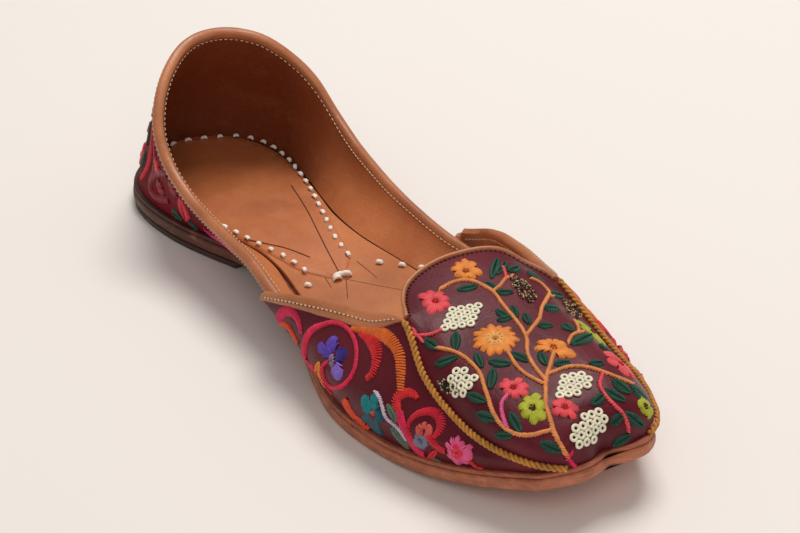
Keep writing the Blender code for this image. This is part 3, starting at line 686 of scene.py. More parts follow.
def vamp_patch():
    """Places and faces of the vamp: the toe, then the two wings and the tongue."""
    side = np.append(np.linspace(0.0, SEAM_R - 0.10, 25), SEAM_R)
    rise = np.linspace(SEAM_R, SEAM_R + BIND_SHARE, 4)[1:]
    crown = np.linspace(SEAM_R + BIND_SHARE, SEAM_L - BIND_SHARE, 64)[1:]
    fall = np.linspace(SEAM_L - BIND_SHARE, SEAM_L, 4)[1:]
    across = np.concatenate([side, rise, crown, fall, (ROUND[-1] - side[::-1])[1:]])
    rows = np.unique(np.concatenate([np.linspace(places[0], 0.030, 10), np.linspace(0.030, WING_START, 58)]))
    wings = np.linspace(0, 1, 50)[1:]
    out, quads = [], []
    cols, count = len(across), len(side)
    for a in rows:
        out += [(a, b) for b in across]
    quads += grid(len(rows), cols)
    last = (len(rows) - 1) * cols
    for mirror in (False, True):
        start = len(out)
        for t in wings:
            for b in side:
                end = WING_FOOT + (WING_TIP - WING_FOOT) * b / SEAM_R
                a = WING_START + (end - WING_START) * t
                near = b * (SEAM_R - cuff_edge(a) - 0.010 * min(1.0, t * 20)) / SEAM_R
                out.append((a, ROUND[-1] - near if mirror else near))
        offset = last + cols - 1 if mirror else last
        row = [(offset - c if mirror else offset + c) for c in range(count)]
        for r in range(len(wings)):
            new = [start + r * count + c for c in range(count)]
            for c in range(count - 1):
                quad = (row[c], row[c + 1], new[c + 1], new[c])
                quads.append(tuple(reversed(quad)) if mirror else quad)
            row = new
    first = count - 1 + len(rise)
    inner = list(range(first, first + len(crown) + 1))
    start = len(out)
    row = [last + c for c in inner]
    steps = np.linspace(0, 1, 18)[1:]
    for s in steps:
        for c in inner:
            end = tongue_edge(across[c], BIND_SHARE)
            out.append((WING_START + max(0.0, end - WING_START) * s, across[c]))
    for r in range(len(steps)):
        new = [start + r * len(inner) + i for i in range(len(inner))]
        for i in range(len(inner) - 1):
            quads.append((row[i], row[i + 1], new[i + 1], new[i]))
        row = new
    return out, quads


def fold_section(outer, inner, bulge, count):
    """Closed section of a folded strip: outer side from edge to edge, then back along the inner side."""
    s = np.linspace(0, 1, count)
    swell = np.sqrt(np.clip(1 - (2 * s - 1) ** 2, 0, 1))
    top = [(t, outer - bulge + bulge * w) for t, w in zip(s, swell)]
    low = [(t, inner + bulge - bulge * w) for t, w in zip(s, swell)][::-1]
    return top + low


def back_height(stations):
    """Height of the quarter's wall at its stations."""
    top, mid = (BACK.points(np.stack([stations, np.full(len(stations), b)], 1)) for b in (1.0, 0.5))
    return 2 * np.linalg.norm(top - mid, axis=1)


def build_tongue_edge():
    """The tongue's binding runs round the open end, so its rows are sweeps of the arc."""
    loop = fold_section(FOLD + 0.0005, -WALL - FOLD, 0.0006, 9)
    out, lift = [], []
    sweeps = np.sin(0.5 * np.pi * np.linspace(-1.0, 1.0, 121))
    for sweep in sweeps:
        for s, h in loop:
            inset = BIND_SHARE * (1 - s)
            b = CROWN + sweep * (SEAM_L - CROWN - inset - 0.01)
            out.append((max(tongue_edge(b, inset), WING_START + 0.0012), b))
            lift.append(h)
    at, k = np.array(out), len(loop)
    verts = TOP.points(at) + TOP.normals(at) * np.array(lift)[:, None]
    faces = [(b, a, d, c) for a, b, c, d in hoops(len(sweeps), k)]
    faces += [tuple(range(k)), tuple((len(sweeps) - 1) * k + c for c in reversed(range(k)))]
    piece = make("tongue_edge", verts, faces, [BINDING], sharp=70)
    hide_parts("tongue_binding")


def build_upper():
    """The upper and its bindings. Returns the outer faces, for the embroidery."""
    out, quads = vamp_patch()
    vamp, at, points, faces = shell("upper_front", TOP, out, quads, [MAROON, LINING, BINDING])
    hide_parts("vamp")
    nets = {"vamp": (TOP, at, points, faces)}
    section = fold_section(FOLD + 0.0004, -WALL - FOLD, 0.0006, 9)
    for name, mirror in (("cuff_right", False), ("cuff_left", True)):
        end = WING_TIP + (0.013 if mirror else 0.001)
        rows = np.concatenate([[WING_START + 0.0015], np.linspace(WING_START + 0.006, end, 64)])

        def edges(a, mirror=mirror):
            drop = 3200.0 * max(0.0, a - WING_TIP + 0.004) ** 2
            low, high = SEAM_R - cuff_edge(a) - 0.004 - drop, SEAM_R - drop
            if mirror:
                low -= 0.95 * min(1.0, max(0.0, (a - 0.415) / 0.05))
            return (ROUND[-1] - low, ROUND[-1] - high) if mirror else (low, high)

        piece = band("wing_" + name, TOP, edges, rows, section[::-1] if mirror else section, BINDING)
        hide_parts(name)

    build_tongue_edge()

    count, rows = 240, 26
    stations = np.linspace(ribs[0], ribs[-1], count)
    cut = 1 - BIND_TOP / back_height(stations)
    out = [(u, b) for u, c in zip(stations, cut) for b in np.linspace(0.0, c + 0.02, rows)]
    quarter, at, points, faces = shell("upper_back", BACK, out, grid(count, rows),
                                       [MAROON_BACK, LINING, BINDING])
    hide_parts("quarter")
    nets["quarter"] = (BACK, at, points, faces)

    def top_edges(u):
        return float(np.interp(u, stations, cut)), 1.0

    section = fold_section(FOLD + 0.0004, -WALL - FOLD - 0.0003, 0.0010, 11)
    roll = band("topline_roll", BACK, top_edges, stations, section, BINDING)
    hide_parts("topline_binding")
    return nets


build_sole()
build_pad()
NETS = build_upper()

# Sewing: picture places on the leather, stitches, motifs

# In picture units: the distance between the places looked up along a line
PLACE_STEP = 2.2
# In metres: the shortest stitch, then steps along a line, half lengths, thicknesses and rise of stitches
SHORTEST = 0.0004
STEM_STEP, STEM_REACH, STEM_R = 0.00078, 0.00085, 0.00036
SATIN_LEAN, SATIN_RISE = 0.25, 0.00034
LEAF_STEP, LEAF_R = 0.00052, 0.00026
PETAL_STEP, PETAL_R = 0.00038, 0.00028
SEQUIN_STEP, SEQUIN_R, SEQUIN_MINOR = 0.00236, 0.00083, 0.00042
KNOT_LIFT, KNOT_REACH, KNOT_R = 0.00042, 0.00032, 0.00024
LEAF_RISE, KNOT_RISE, PETAL_RISE, INNER_RISE = 0.00030, 0.00030, 0.00042, 0.0006
BLOSSOM_HEART, SUN_HEART, FLOWER_HEART = 0.0006, 0.0019, 0.0007
RING_LIFT, DISC_LIFT = 0.00030, 0.00016
BEAD_R, BRASS_SHARE = (0.00018, 0.00031), 0.42

# The heel's motifs are drawn in millimetres: from the heel's middle towards the near side, and up
HEEL_MIDDLE = ribs[14]
HEEL_HEIGHTS = np.linalg.norm(rib_net[:, 2] - rib_net[:, 0], axis=1)


def ray_through(px):
    return AHEAD * FOCAL_PX + RIGHT * (px[0] - MID_X) + DOWN * (px[1] - MID_Y)


def axes_on(up):
    """Two directions at right angles in the leather's plane."""
    first = np.cross(up, [0.31, 0.77, 0.55])
    first /= np.linalg.norm(first)
    return first, np.cross(up, first)


class Canvas:
    """The outer faces of the upper. A place is (part, a, b); the far side takes the mirrored place."""

    def __init__(self, nets):
        self.parts, self.between = [], None
        for name in ("vamp", "quarter"):
            surface, at, points, faces = nets[name]
            tris = [f[:3] for f in faces] + [(f[0], f[2], f[3]) for f in faces if len(f) == 4]
            tree = BVHTree.FromPolygons([Vector(p) for p in points], tris)
            self.parts.append((surface, at, points, tris, tree))

    def find(self, px, view):
        """The place that a picture point shows. One just off the leather is moved in a little."""
        px = np.asarray(px, float)
        inward = np.array(MIDDLE_PX) - px
        inward /= max(np.linalg.norm(inward), 1e-9)
        for move in (0.0, 1.5, 3.0, 4.5, 6.0):
            place = self.cast(px + inward * move, view)
            if place is not None:
                return place
        return None

    def cast(self, px, view):
        if view == "heel":
            a = HEEL_MIDDLE - MM * px[0]
            return 1, a, MM * px[1] / float(np.interp(a, ribs, HEEL_HEIGHTS))
        ray = Vector(ray_through(px)).normalized()
        best = None
        for part, (surface, at, points, tris, tree) in enumerate(self.parts):
            hit, _, index, distance = tree.ray_cast(Vector(EYE), ray)
            if hit is not None and (best is None or distance < best[0]):
                best = (distance, part, index, np.array(hit))
        if best is None:
            return None
        _, part, index, hit = best
        _, at, points, tris, _ = self.parts[part]
        i, j, k = tris[index]
        e1, e2, e = points[j] - points[i], points[k] - points[i], hit - points[i]
        a, b, c = e1 @ e1, e1 @ e2, e2 @ e2
        det = max(a * c - b * b, 1e-20)
        u, v = (c * (e @ e1) - b * (e @ e2)) / det, (a * (e @ e2) - b * (e @ e1)) / det
        place = at[i] * (1 - u - v) + at[j] * u + at[k] * v
        if self.between:
            place[1] = min(max(place[1], self.between[0]), self.between[1])
        return part, place[0], place[1]

    def spot(self, place, flip=False):
        """Point and outward direction of a place, or of its twin on the other side."""
        part, a, b = place
        surface = self.parts[part][0]
        if flip:
            a, b = (a, ROUND[-1] - b) if part == 0 else (ribs[-1] - a, b)
        at = np.array([(a, b)])
        return surface.points(at)[0], surface.normals(at)[0]

    def line(self, points, flip, view, step):
        """Evenly spaced points and directions along a line drawn in the picture."""
        points = smooth_line(points, max(4, int(length_of(points) / PLACE_STEP)))
        spots = [self.spot(p, flip) for p in (self.find(q, view) for q in points) if p]
        if len(spots) < 2:
            return None
        path, ups = np.array([s[0] for s in spots]), np.array([s[1] for s in spots])
        d = distances(path)
        if d[-1] < 2 * SHORTEST:
            return None
        at = np.linspace(0, d[-1], max(3, int(round(d[-1] / step)) + 1))
        ups = points_at(ups, d, at)
        return points_at(path, d, at), ups / np.linalg.norm(ups, axis=1)[:, None]

    def scale(self, px, across, view):
        """Metres per picture unit at a place, measured across a direction in the picture."""
        if view == "heel":
            return MM
        across = np.asarray(across, float)
        across /= max(np.linalg.norm(across), 1e-9)
        ends = [self.find(np.asarray(px) + across * s, view) for s in (-2.0, 2.0)]
        if None in ends or ends[0][0] != ends[1][0]:
            return PIXEL
        gap = np.linalg.norm(self.spot(ends[0])[0] - self.spot(ends[1])[0]) / 4.0
        return float(np.clip(gap, PIXEL_MIN, PIXEL_MAX))


class Thread:
    """All stitches of one colour: each an arc that leaves the leather and goes back into it."""

    def __init__(self):
        self.rows = []

    def add(self, start, end, up, radius, rise, up_end=None):
        self.rows.append((start, end, up, up if up_end is None else up_end, radius, rise))

    def make(self, name, material, rings=6, sides=6):
        start, end, up, up_end = (np.array([r[k] for r in self.rows]) for k in range(4))
        radius, rise = np.array([r[4] for r in self.rows]), np.array([r[5] for r in self.rows])
        n = len(self.rows)
        t = np.linspace(0, 1, rings)
        arch = 1 - (2 * t - 1) ** 4
        ups = up[:, None] * (1 - t)[None, :, None] + up_end[:, None] * t[None, :, None]
        path = (start[:, None] * (1 - t)[None, :, None] + end[:, None] * t[None, :, None]
                + ups * (rise[:, None] * (arch * 1.5 - 0.5)[None])[:, :, None])
        along = end - start
        along /= np.maximum(np.linalg.norm(along, axis=1), 1e-9)[:, None]
        side = np.cross(along[:, None], ups)
        side /= np.maximum(np.linalg.norm(side, axis=2), 1e-9)[:, :, None]
        turn = np.linspace(0, 2 * np.pi, sides, endpoint=False)
        thick = radius[:, None] * (0.72 + 0.28 * arch)[None]
        cos, sin = np.cos(turn)[None, None, :, None], np.sin(turn)[None, None, :, None]
        ring = path[:, :, None] + thick[:, :, None, None] * (cos * side[:, :, None] + sin * ups[:, :, None])
        verts = ring.reshape(-1, 3)
        quad = np.array(tube_hoops(rings, sides))
        faces = (quad[None] + (np.arange(n) * rings * sides)[:, None, None]).reshape(-1, 4)
        mesh = bpy.data.meshes.new(name)
        mesh.vertices.add(len(verts))
        mesh.vertices.foreach_set("co", verts.ravel())
        mesh.loops.add(faces.size)
        mesh.loops.foreach_set("vertex_index", faces.ravel())
        mesh.polygons.add(len(faces))
        mesh.polygons.foreach_set("loop_start", np.arange(0, faces.size, 4))
        mesh.materials.append(material)
        mesh.update(calc_edges=True)
        mesh.validate()
        mesh.shade_smooth()
        obj = put(name, mesh)
        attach(obj, "root")


def frame_at(path, ups):
    along = unit(np.gradient(path, axis=0))
    return along, unit(np.cross(ups, along))


class Sewing:
    """The motifs. Each is drawn in the picture and sewn on the side that shows, and on its twin."""

    def __init__(self, canvas, seed=7):
        self.canvas, self.threads, self.chance = canvas, {}, np.random.default_rng(seed)
        self.rings, self.beads, self.darks = Bag(), Bag(), Bag()
        self.flips = (False,)
        self.view = "photo"

    def thread(self, colour):
        return self.threads.setdefault(colour, Thread())

    def unit_size(self, points):
        """Metres per picture unit across the middle of a path."""
        points = np.asarray(points, float)
        i = len(points) // 2
        way = points[min(i + 1, len(points) - 1)] - points[i - 1]
        return self.canvas.scale(points[i], (-way[1], way[0]), self.view)

    def wobble(self, size, count=None):
        return self.chance.uniform(-size, size, count)

    def runs(self, points, step):
        """A drawn line on each side sewn: points, outward, along and side directions, and sense."""
        for flip in self.flips:
            line = self.canvas.line(points, flip, self.view, step)
            if line is not None:
                along, side = frame_at(*line)
                yield *line, along, side, -1.0 if flip else 1.0

    def stem(self, colour, points, width):
        """Stem stitch: a rope of short slanted stitches."""
        for path, ups, along, side, turn in self.runs(points, STEM_STEP):
            half = 0.5 * width * (PIXEL if self.view == "photo" else MM)
            for p, n, t, s in zip(path, ups, along, side):
                lean = (0.95 + self.wobble(0.15)) * half
                reach = t * (0.95 + self.wobble(0.2)) * STEM_REACH
                across = s * lean * turn * 0.62
                self.thread(colour).add(p - reach - across, p + reach + across, n, STEM_R, SATIN_RISE)

    def satin(self, colour, points, widths, step=0.00058, radius=0.00031):
        """Satin band: stitches across a path, whose width follows the list."""
        for path, ups, along, side, turn in self.runs(points, step):
            share = np.linspace(0, 1, len(path))
            half = 0.5 * self.unit_size(points) * np.interp(share, np.linspace(0, 1, len(widths)), widths)
            for p, n, t, s, w in zip(path, ups, along, side, half):
                w = w * (1 + self.wobble(0.07))
                skew = t * w * SATIN_LEAN * turn + t * self.wobble(0.00008)
                self.thread(colour).add(p - s * w - skew, p + s * w + skew, n, radius, SATIN_RISE)

    def leaf(self, colour, base, tip, width):
        """Fishbone leaf: stitches run from its edge forward to the middle line."""
        base, tip = np.asarray(base, float), np.asarray(tip, float)
        axis = tip - base
        across = np.array([-axis[1], axis[0]]) / max(np.linalg.norm(axis), 1e-9)
        mid = 0.5 * (base + tip)
        half = 0.5 * width * self.canvas.scale(mid, across, self.view)
        for path, ups, along, side, turn in self.runs([base, mid, tip], LEAF_STEP):
            count = len(path)
            share = np.linspace(0, 1, count)
            shape = np.sin(np.pi * np.clip(share, 0.03, 0.97) ** 0.85) ** 0.75
            ahead = max(1, int(count * 0.17))
            for i in range(count):
                j = min(count - 1, i + ahead)
                for sign in (-1, 1):
                    edge = path[i] + side[i] * sign * half * shape[i] * (1 + self.wobble(0.06))
                    mid_point = path[j] + side[j] * sign * 0.00005
                    if np.linalg.norm(edge - mid_point) > SHORTEST:
                        self.thread(colour).add(edge, mid_point, ups[i], LEAF_R, LEAF_RISE)

    def petal(self, colour, base, tip, width, rise=PETAL_RISE):
        """Long stitches that fan from the heart of a flower to the petal's round edge (3-D points)."""
        (p0, n0), (p1, n1) = base, tip
        axis = p1 - p0
        length = np.linalg.norm(axis)
        if length < SHORTEST:
            return
        axis /= length
        side = np.cross(n1, axis)
        for j in np.linspace(-1, 1, max(5, int(width / PETAL_STEP))):
            reach = length * (0.55 + 0.47 * math.sqrt(max(0.0, 1 - j * j))) * (1 + self.wobble(0.018))
            start = p0 + side * j * width * 0.16 + axis * length * 0.12
            end = p0 + axis * reach + side * j * width * 0.46
            self.thread(colour).add(start, end, n0, PETAL_R, rise, n1)

    def flower(self, colour, centre, tips, heart=None, heart_size=0.0, fullness=0.98, knots=5, inner=None):
        """A flower of petals from its centre to the tips; heart is the colour of the knots in its middle."""
        for flip in self.flips:
            middle = self.canvas.find(centre, self.view)
            if middle is None:
                continue
            core = self.canvas.spot(middle, flip)
            ends = [self.canvas.find(t, self.view) for t in tips]
            ends = [self.canvas.spot(e, flip) if e else None for e in ends]
            known = [i for i, e in enumerate(ends) if e]
            for i in known:
                left, right = ends[i - 1], ends[(i + 1) % len(ends)]
                gaps = [np.linalg.norm(ends[i][0] - e[0]) for e in (left, right) if e is not None]
                reach = np.linalg.norm(ends[i][0] - core[0])
                width = min(fullness * (sum(gaps) / len(gaps) if gaps else reach), 1.5 * reach)
                self.petal(colour, core, ends[i], width)
                if inner:
                    shorter = (core[0] + (ends[i][0] - core[0]) * 0.55, ends[i][1])
                    self.petal(inner, core, shorter, width * 0.6, INNER_RISE)
            if heart:
                self.knots(heart, core, heart_size, knots)

    def blossom(self, colour, centre, radius, count, heart=None):
        """A round flower of one size on the leather, for places that the picture sees aslant."""
        part, a, b = self.canvas.find(centre, self.view)
        tree = self.canvas.parts[part][4]
        for flip in self.flips:
            core = self.canvas.spot((part, a, b), flip)
            first, second = axes_on(core[1])
            for k in range(count):
                angle = 2 * math.pi * k / count
                end = core[0] + (first * math.cos(angle) + second * math.sin(angle)) * radius
                end, up, _, _ = tree.find_nearest(Vector(end))
                up = np.array(up) * (1 if np.array(up) @ core[1] > 0 else -1)
                self.petal(colour, core, (np.array(end), up), 5.2 * radius / count)
            if heart:
                self.knots(heart, core, BLOSSOM_HEART, 5)

    def lobe(self, colour, base, tip, width):
        """One round petal of its own width."""
        across = np.array([base[1] - tip[1], tip[0] - base[0]], float)
        size = width * self.canvas.scale(0.5 * (np.asarray(base) + tip), across, self.view)
        places = self.canvas.find(base, self.view), self.canvas.find(tip, self.view)
        if None in places:
            return
        for flip in self.flips:
            self.petal(colour, *(self.canvas.spot(p, flip) for p in places), size)

    def knots(self, colour, core, size, count):
        """Small knots round the middle of a flower."""
        point, up = core
        first, second = axes_on(up)
        for k in range(count):
            angle = 2 * math.pi * k / count
            at = point + (first * math.cos(angle) + second * math.sin(angle)) * size + up * KNOT_LIFT
            reach = (first * math.cos(angle + 0.9) + second * math.sin(angle + 0.9)) * KNOT_REACH
            self.thread(colour).add(at - reach, at + reach, up, KNOT_R, KNOT_RISE)

    def project(self, point):
        """The picture point that shows a point of space."""
        d = point - EYE
        x, y = FOCAL_PX * (d @ RIGHT) / (d @ AHEAD), FOCAL_PX * (d @ DOWN) / (d @ AHEAD)
        return np.array([MID_X + x, MID_Y + y])

    def inside(self, polygon, q):
        hit = False
        for (x0, y0), (x1, y1) in zip(polygon, polygon[1:] + polygon[:1]):
            if (y0 > q[1]) != (y1 > q[1]) and q[0] < (x1 - x0) * (q[1] - y0) / (y1 - y0) + x0:
                hit = not hit
        return hit

    def sequins(self, centre, run, rows):
        """Thread rings in close rows, sewn on one by one."""
        ends = [self.canvas.find(np.add(centre, d), self.view) for d in ((0, 0), run)]
        (origin, up), (other, _) = [self.canvas.spot(e) for e in ends]
        first = other - origin
        first -= up * (first @ up)
        first /= np.linalg.norm(first)
        second = np.cross(up, first)
        chart = [(start + i, 0.87 * j) for j, (start, count) in enumerate(rows) for i in range(count)]
        chart = np.array(chart)
        for i, j in (chart - chart.mean(axis=0)) * SEQUIN_STEP:
            place = self.canvas.find(self.project(origin + first * i + second * j), self.view)
            for flip in self.flips:
                p, n = self.canvas.spot(place, flip)
                self.eyelet(p, n, SEQUIN_R + self.wobble(0.00003), SEQUIN_MINOR)

    def eyelet(self, point, up, major, minor):
        """A ring of thread with a dark disc in its hole, painted shade."""
        around, sides = 14, 8
        first, second = axes_on(up)
        tilt = self.wobble(0.10, 2)
        up = up + first * tilt[0] + second * tilt[1]
        up /= np.linalg.norm(up)
        u = np.linspace(0, 2 * np.pi, around, endpoint=False)
        v = np.linspace(0, 2 * np.pi, sides, endpoint=False)
        spoke = np.cos(u)[:, None] * first + np.sin(u)[:, None] * second
        verts = (point + up * RING_LIFT + spoke[:, None] * (major + minor * np.cos(v))[None, :, None]
                 + up * (minor * 0.85 * np.sin(v))[None, :, None]).reshape(-1, 3)
        faces = [(i * sides + j, (i + 1) % around * sides + j, (i + 1) % around * sides + (j + 1) % sides,
                  i * sides + (j + 1) % sides) for i in range(around) for j in range(sides)]
        self.rings.add(verts, faces)
        # the dark disc: painted shade in the ring's hole
        disc = point + up * DISC_LIFT + spoke * major
        self.darks.add(disc, [tuple(range(around))])

    def scatter(self, polygon, count):
        """Tiny metal beads, sewn close together."""
        polygon = [tuple(p) for p in polygon]
        low, high = np.min(polygon, axis=0), np.max(polygon, axis=0)
        placed = 0
        for _ in range(count * 6):
            if placed >= count:
                break
            q = self.chance.uniform(low, high)
            if not self.inside(polygon, q):
                continue
            place = self.canvas.find(q, self.view)
            if place is None:
                continue
            placed += 1
            for flip in self.flips:
                p, n = self.canvas.spot(place, flip)
                bag = self.beads if self.chance.uniform() < BRASS_SHARE else self.darks
                size = self.chance.uniform(*BEAD_R)
                verts = p + n * (0.0002 + self.chance.uniform(0, 0.0004)) + BALL[0] * size
                bag.add(verts, BALL[1])


def unit_ball(rings=5, sides=8):
    verts = [(0.0, 0.0, 1.0)]
    for i in range(1, rings):
        lat = math.pi * i / rings
        verts += [(math.sin(lat) * math.cos(a), math.sin(lat) * math.sin(a), math.cos(lat))
                  for a in np.linspace(0, 2 * math.pi, sides, endpoint=False)]
    verts.append((0.0, 0.0, -1.0))
    faces = [(0, 1 + j, 1 + (j + 1) % sides) for j in range(sides)]
    for i in range(rings - 2):
        a, b = 1 + i * sides, 1 + (i + 1) * sides
        faces += [(a + j, b + j, b + (j + 1) % sides, a + (j + 1) % sides) for j in range(sides)]
    last = 1 + (rings - 2) * sides
    faces += [(last + j, len(verts) - 1, last + (j + 1) % sides) for j in range(sides)]
    return np.array(verts), faces


BALL = unit_ball()

# The tongue panel, in the picture's pixels: stems of the vine (colour, width, points), leaves (base, tip,
# width) and flowers (colour, centre, tips, colour of the heart)
VINES = [
    ("peach", 4.2, [(529, 248), (539, 243), (549.6, 242), (558.5, 245.3), (565.8, 249.7), (573.2, 259.3),
      (580.6, 268.1), (588, 278.5), (590.2, 284.4), (590.2, 291.7), (593.1, 299.1), (598.3, 306.5),
      (603.4, 312.4)]),
    ("peach", 3.2, [(567, 249), (571.7, 245.3), (575, 240.9), (579.8, 239)]),
    ("coral", 3.0, [(575.5, 240), (574.5, 236.5), (573.5, 233)]),
    ("peach", 3.6, [(590.5, 280), (595.3, 274), (599, 268.9), (600.5, 262.2), (604.2, 254.9), (606, 251),
      (603.4, 247.5), (598.3, 243), (593.8, 240.9)]),
    ("peach", 3.0, [(605, 252.6), (609, 253.6)]),
    ("peach", 4.6, [(618.9, 366.2), (613, 356.6), (609.3, 349.2), (606.4, 338.9), (603.4, 330),
      (603.4, 321.2), (603.4, 312.4), (605.6, 305), (607.8, 297.6), (609.3, 292.5)]),
    ("magenta", 4.0, [(625, 374), (621.5, 370), (618.5, 365.5)]),
    ("magenta", 3.0, [(618.5, 367.5), (621.6, 364)]),
    ("peach", 3.9, [(527.5, 289.5), (534.9, 291), (543.7, 294.7), (551.1, 300.6), (557, 307.9),
      (559.9, 316.8), (562.9, 325.6), (566.6, 336), (571.7, 343.3), (578.4, 348.5), (586.5, 351),
      (595.3, 350.7), (603.4, 348.5), (607.8, 347.5)]),
    ("peach", 3.9, [(602, 315), (595.3, 311.6), (587.9, 307.2), (582, 301.3), (578.4, 295.4),
      (576.5, 292.5)]),
    ("peach", 3.9, [(605.6, 308), (611.5, 305.7), (618.9, 303.2), (627.7, 302.8), (636.6, 304.3),
      (644, 306.8), (652.8, 310.1), (659.4, 312.7), (665, 315.3)]),
    ("coral", 3.8, [(644, 308), (641.8, 315.3), (645.4, 322.7), (652, 330), (658, 336), (661.6, 343.3),
      (662.1, 348.5)]),
    ("peach", 3.4, [(619.6, 285.8), (621.9, 281.4), (625.5, 279.2), (630, 278.5)]),
    ("peach", 2.8, [(627, 278.6), (626.3, 274.8), (624.1, 271.1)]),
    ("coral", 3.4, [(506.5, 281.6), (514.2, 280.7), (521.6, 280.2), (529.7, 277)]),
    ("coral", 2.6, [(513.5, 281.2), (516.5, 285)]),
    ("pink", 4.0, [(576.1, 323.4), (572.5, 327.8), (572.5, 335.2), (575.4, 344.5)])]
LEAVES = [
    ((541, 249), (555, 246), 5), ((561, 243.5), (568.5, 248.5), 5), ((565, 241), (569.5, 226.5), 6),
    ((569, 238), (575.5, 229), 5), ((577, 235.8), (584.5, 232.6), 5.5),
    ((568, 250.8), (580.5, 250.2), 4.8), ((591, 235.5), (600.5, 243.5), 5),
    ((607, 251), (615.5, 253.2), 4.5), ((602, 261.5), (612.5, 262), 5.5),
    ((579.5, 260.2), (583.5, 268.2), 5), ((568.5, 263), (576.5, 268), 5), ((569, 270.5), (579, 268.2), 5),
    ((588.5, 265.5), (591.8, 273), 5.5), ((598, 274), (608.5, 274), 5), ((616, 272.8), (623, 278), 5.5),
    ((621.5, 288), (635.5, 281), 7), ((540, 278), (539.5, 291.3), 7.5), ((517, 283), (528, 290.5), 7.5),
    ((525, 301.2), (541, 296), 6.5), ((554, 293), (558.5, 303.5), 6.5), ((563, 299.2), (578.5, 301), 7),
    ((580, 293), (591, 299.3), 6), ((599.5, 292.5), (603.8, 302), 6.5), ((609.5, 301.5), (621, 300), 5.5),
    ((634.5, 301), (644.5, 300.5), 5.5), ((643, 287.5), (648.8, 293.4), 5.5),
    ((566.5, 304), (564.5, 318.5), 7.5), ((547.5, 321.8), (561.5, 327.8), 7.5),
    ((554.5, 336), (568.5, 340.5), 8), ((578, 335), (586, 349), 8), ((567.5, 351), (580, 351.5), 6.5),
    ((599, 356.5), (614.5, 362.8), 8), ((636, 330.3), (646, 322.2), 7), ((645, 319), (660, 327.5), 7),
    ((651, 312), (663.5, 322), 7.5), ((663.5, 316.2), (675, 326.5), 6.5),
    ((649.5, 344.3), (658.8, 336.2), 7.5), ((659.5, 335.2), (672.5, 345), 7.5),
    ((650.5, 359), (663.5, 351), 7)]
FLOWERS = [
    ("orange", (547, 236), [(536.5, 233), (540, 228.8), (546, 226.3), (552.5, 228.5), (559, 236.5),
      (553.5, 240.5), (546, 241), (539.5, 239)], "deep_orange"),
    ("coral", (525.5, 257), [(513.5, 251.8), (520.5, 248.8), (529.5, 249.5), (535, 254), (536, 260.5),
      (530, 264), (521.5, 265.6), (516.5, 259.5)], "red"),
    ("orange", (608.8, 289.8), [(595.2, 290.5), (598, 284.8), (604.5, 283.2), (611.5, 283.5),
      (617.5, 286), (624.8, 295.5), (617.5, 296.5), (609, 291.5), (602, 291.6)], "deep_orange"),
    ("coral", (580.5, 318), [(570, 315.5), (573.5, 311.3), (579.5, 313), (586.5, 310.8), (591.8, 316.5),
      (591, 323.2), (583, 325.2), (574.5, 322.6)], "red"),
    ("lime", (594.3, 332.3), [(589.5, 323.5), (597.8, 321.3), (603.6, 328.5), (602.8, 340),
      (595.5, 343.7), (587, 338.5), (584.2, 330.3)], "maroon"),
    ("coral", (617, 331.8), [(607.8, 328), (613.5, 324.4), (622, 327.3), (627.2, 333), (624.5, 339.8),
      (616.5, 338.6), (608.5, 336.2)], "red"),
    ("lime", (673.5, 331.5), [(669, 328.5), (671.5, 323.8), (676, 328), (679.8, 336), (678, 339.5),
      (671.5, 335)], "maroon")]
# Flowers of one size: colour, centre, radius in metres, number of petals, colour of the heart
BLOSSOMS = [("coral", (656.5, 301.5), 0.0056, 6, "red"), ("lime", (636, 279.5), 0.0054, 6, "maroon")]
# The large flower: its centre, its half width and half height, and its number of petals
SUN, SUN_SIZE, SUN_TIPS = (567.8, 283.8), (16.4, 10.9), 14
# Middle of a sequin group, the run of its rows in the picture, and start and count of each row, lowest first
SEQUINS = [((544, 268), (12, -2), [(0, 4), (0.5, 4), (1, 4), (1.5, 4)]),
           ((544, 313.6), (12, 0.5), [(1, 2), (0.5, 3), (0, 4), (0.5, 2)]),
           ((623, 316), (12, -2), [(0, 3), (0.5, 4), (1, 4), (1.5, 3)]),
           ((634, 346.5), (12, -4), [(0, 3), (-0.5, 5), (0, 5), (1.5, 3)])]
# Outline of a bead group and its number of beads
BEADS = [
    ([(577.5, 239), (585, 240), (593.5, 246.5), (598, 254), (594, 258.3), (586.5, 254.5), (580.5, 247.5)],
     190),
    ([(615.5, 255.5), (622, 258), (629.5, 266), (627.5, 270.5), (621, 267.5), (616.5, 261)], 110),
    ([(526.5, 314), (532, 311.5), (539, 314), (542, 321.5), (535.5, 322.5), (529.5, 318.5)], 130)]
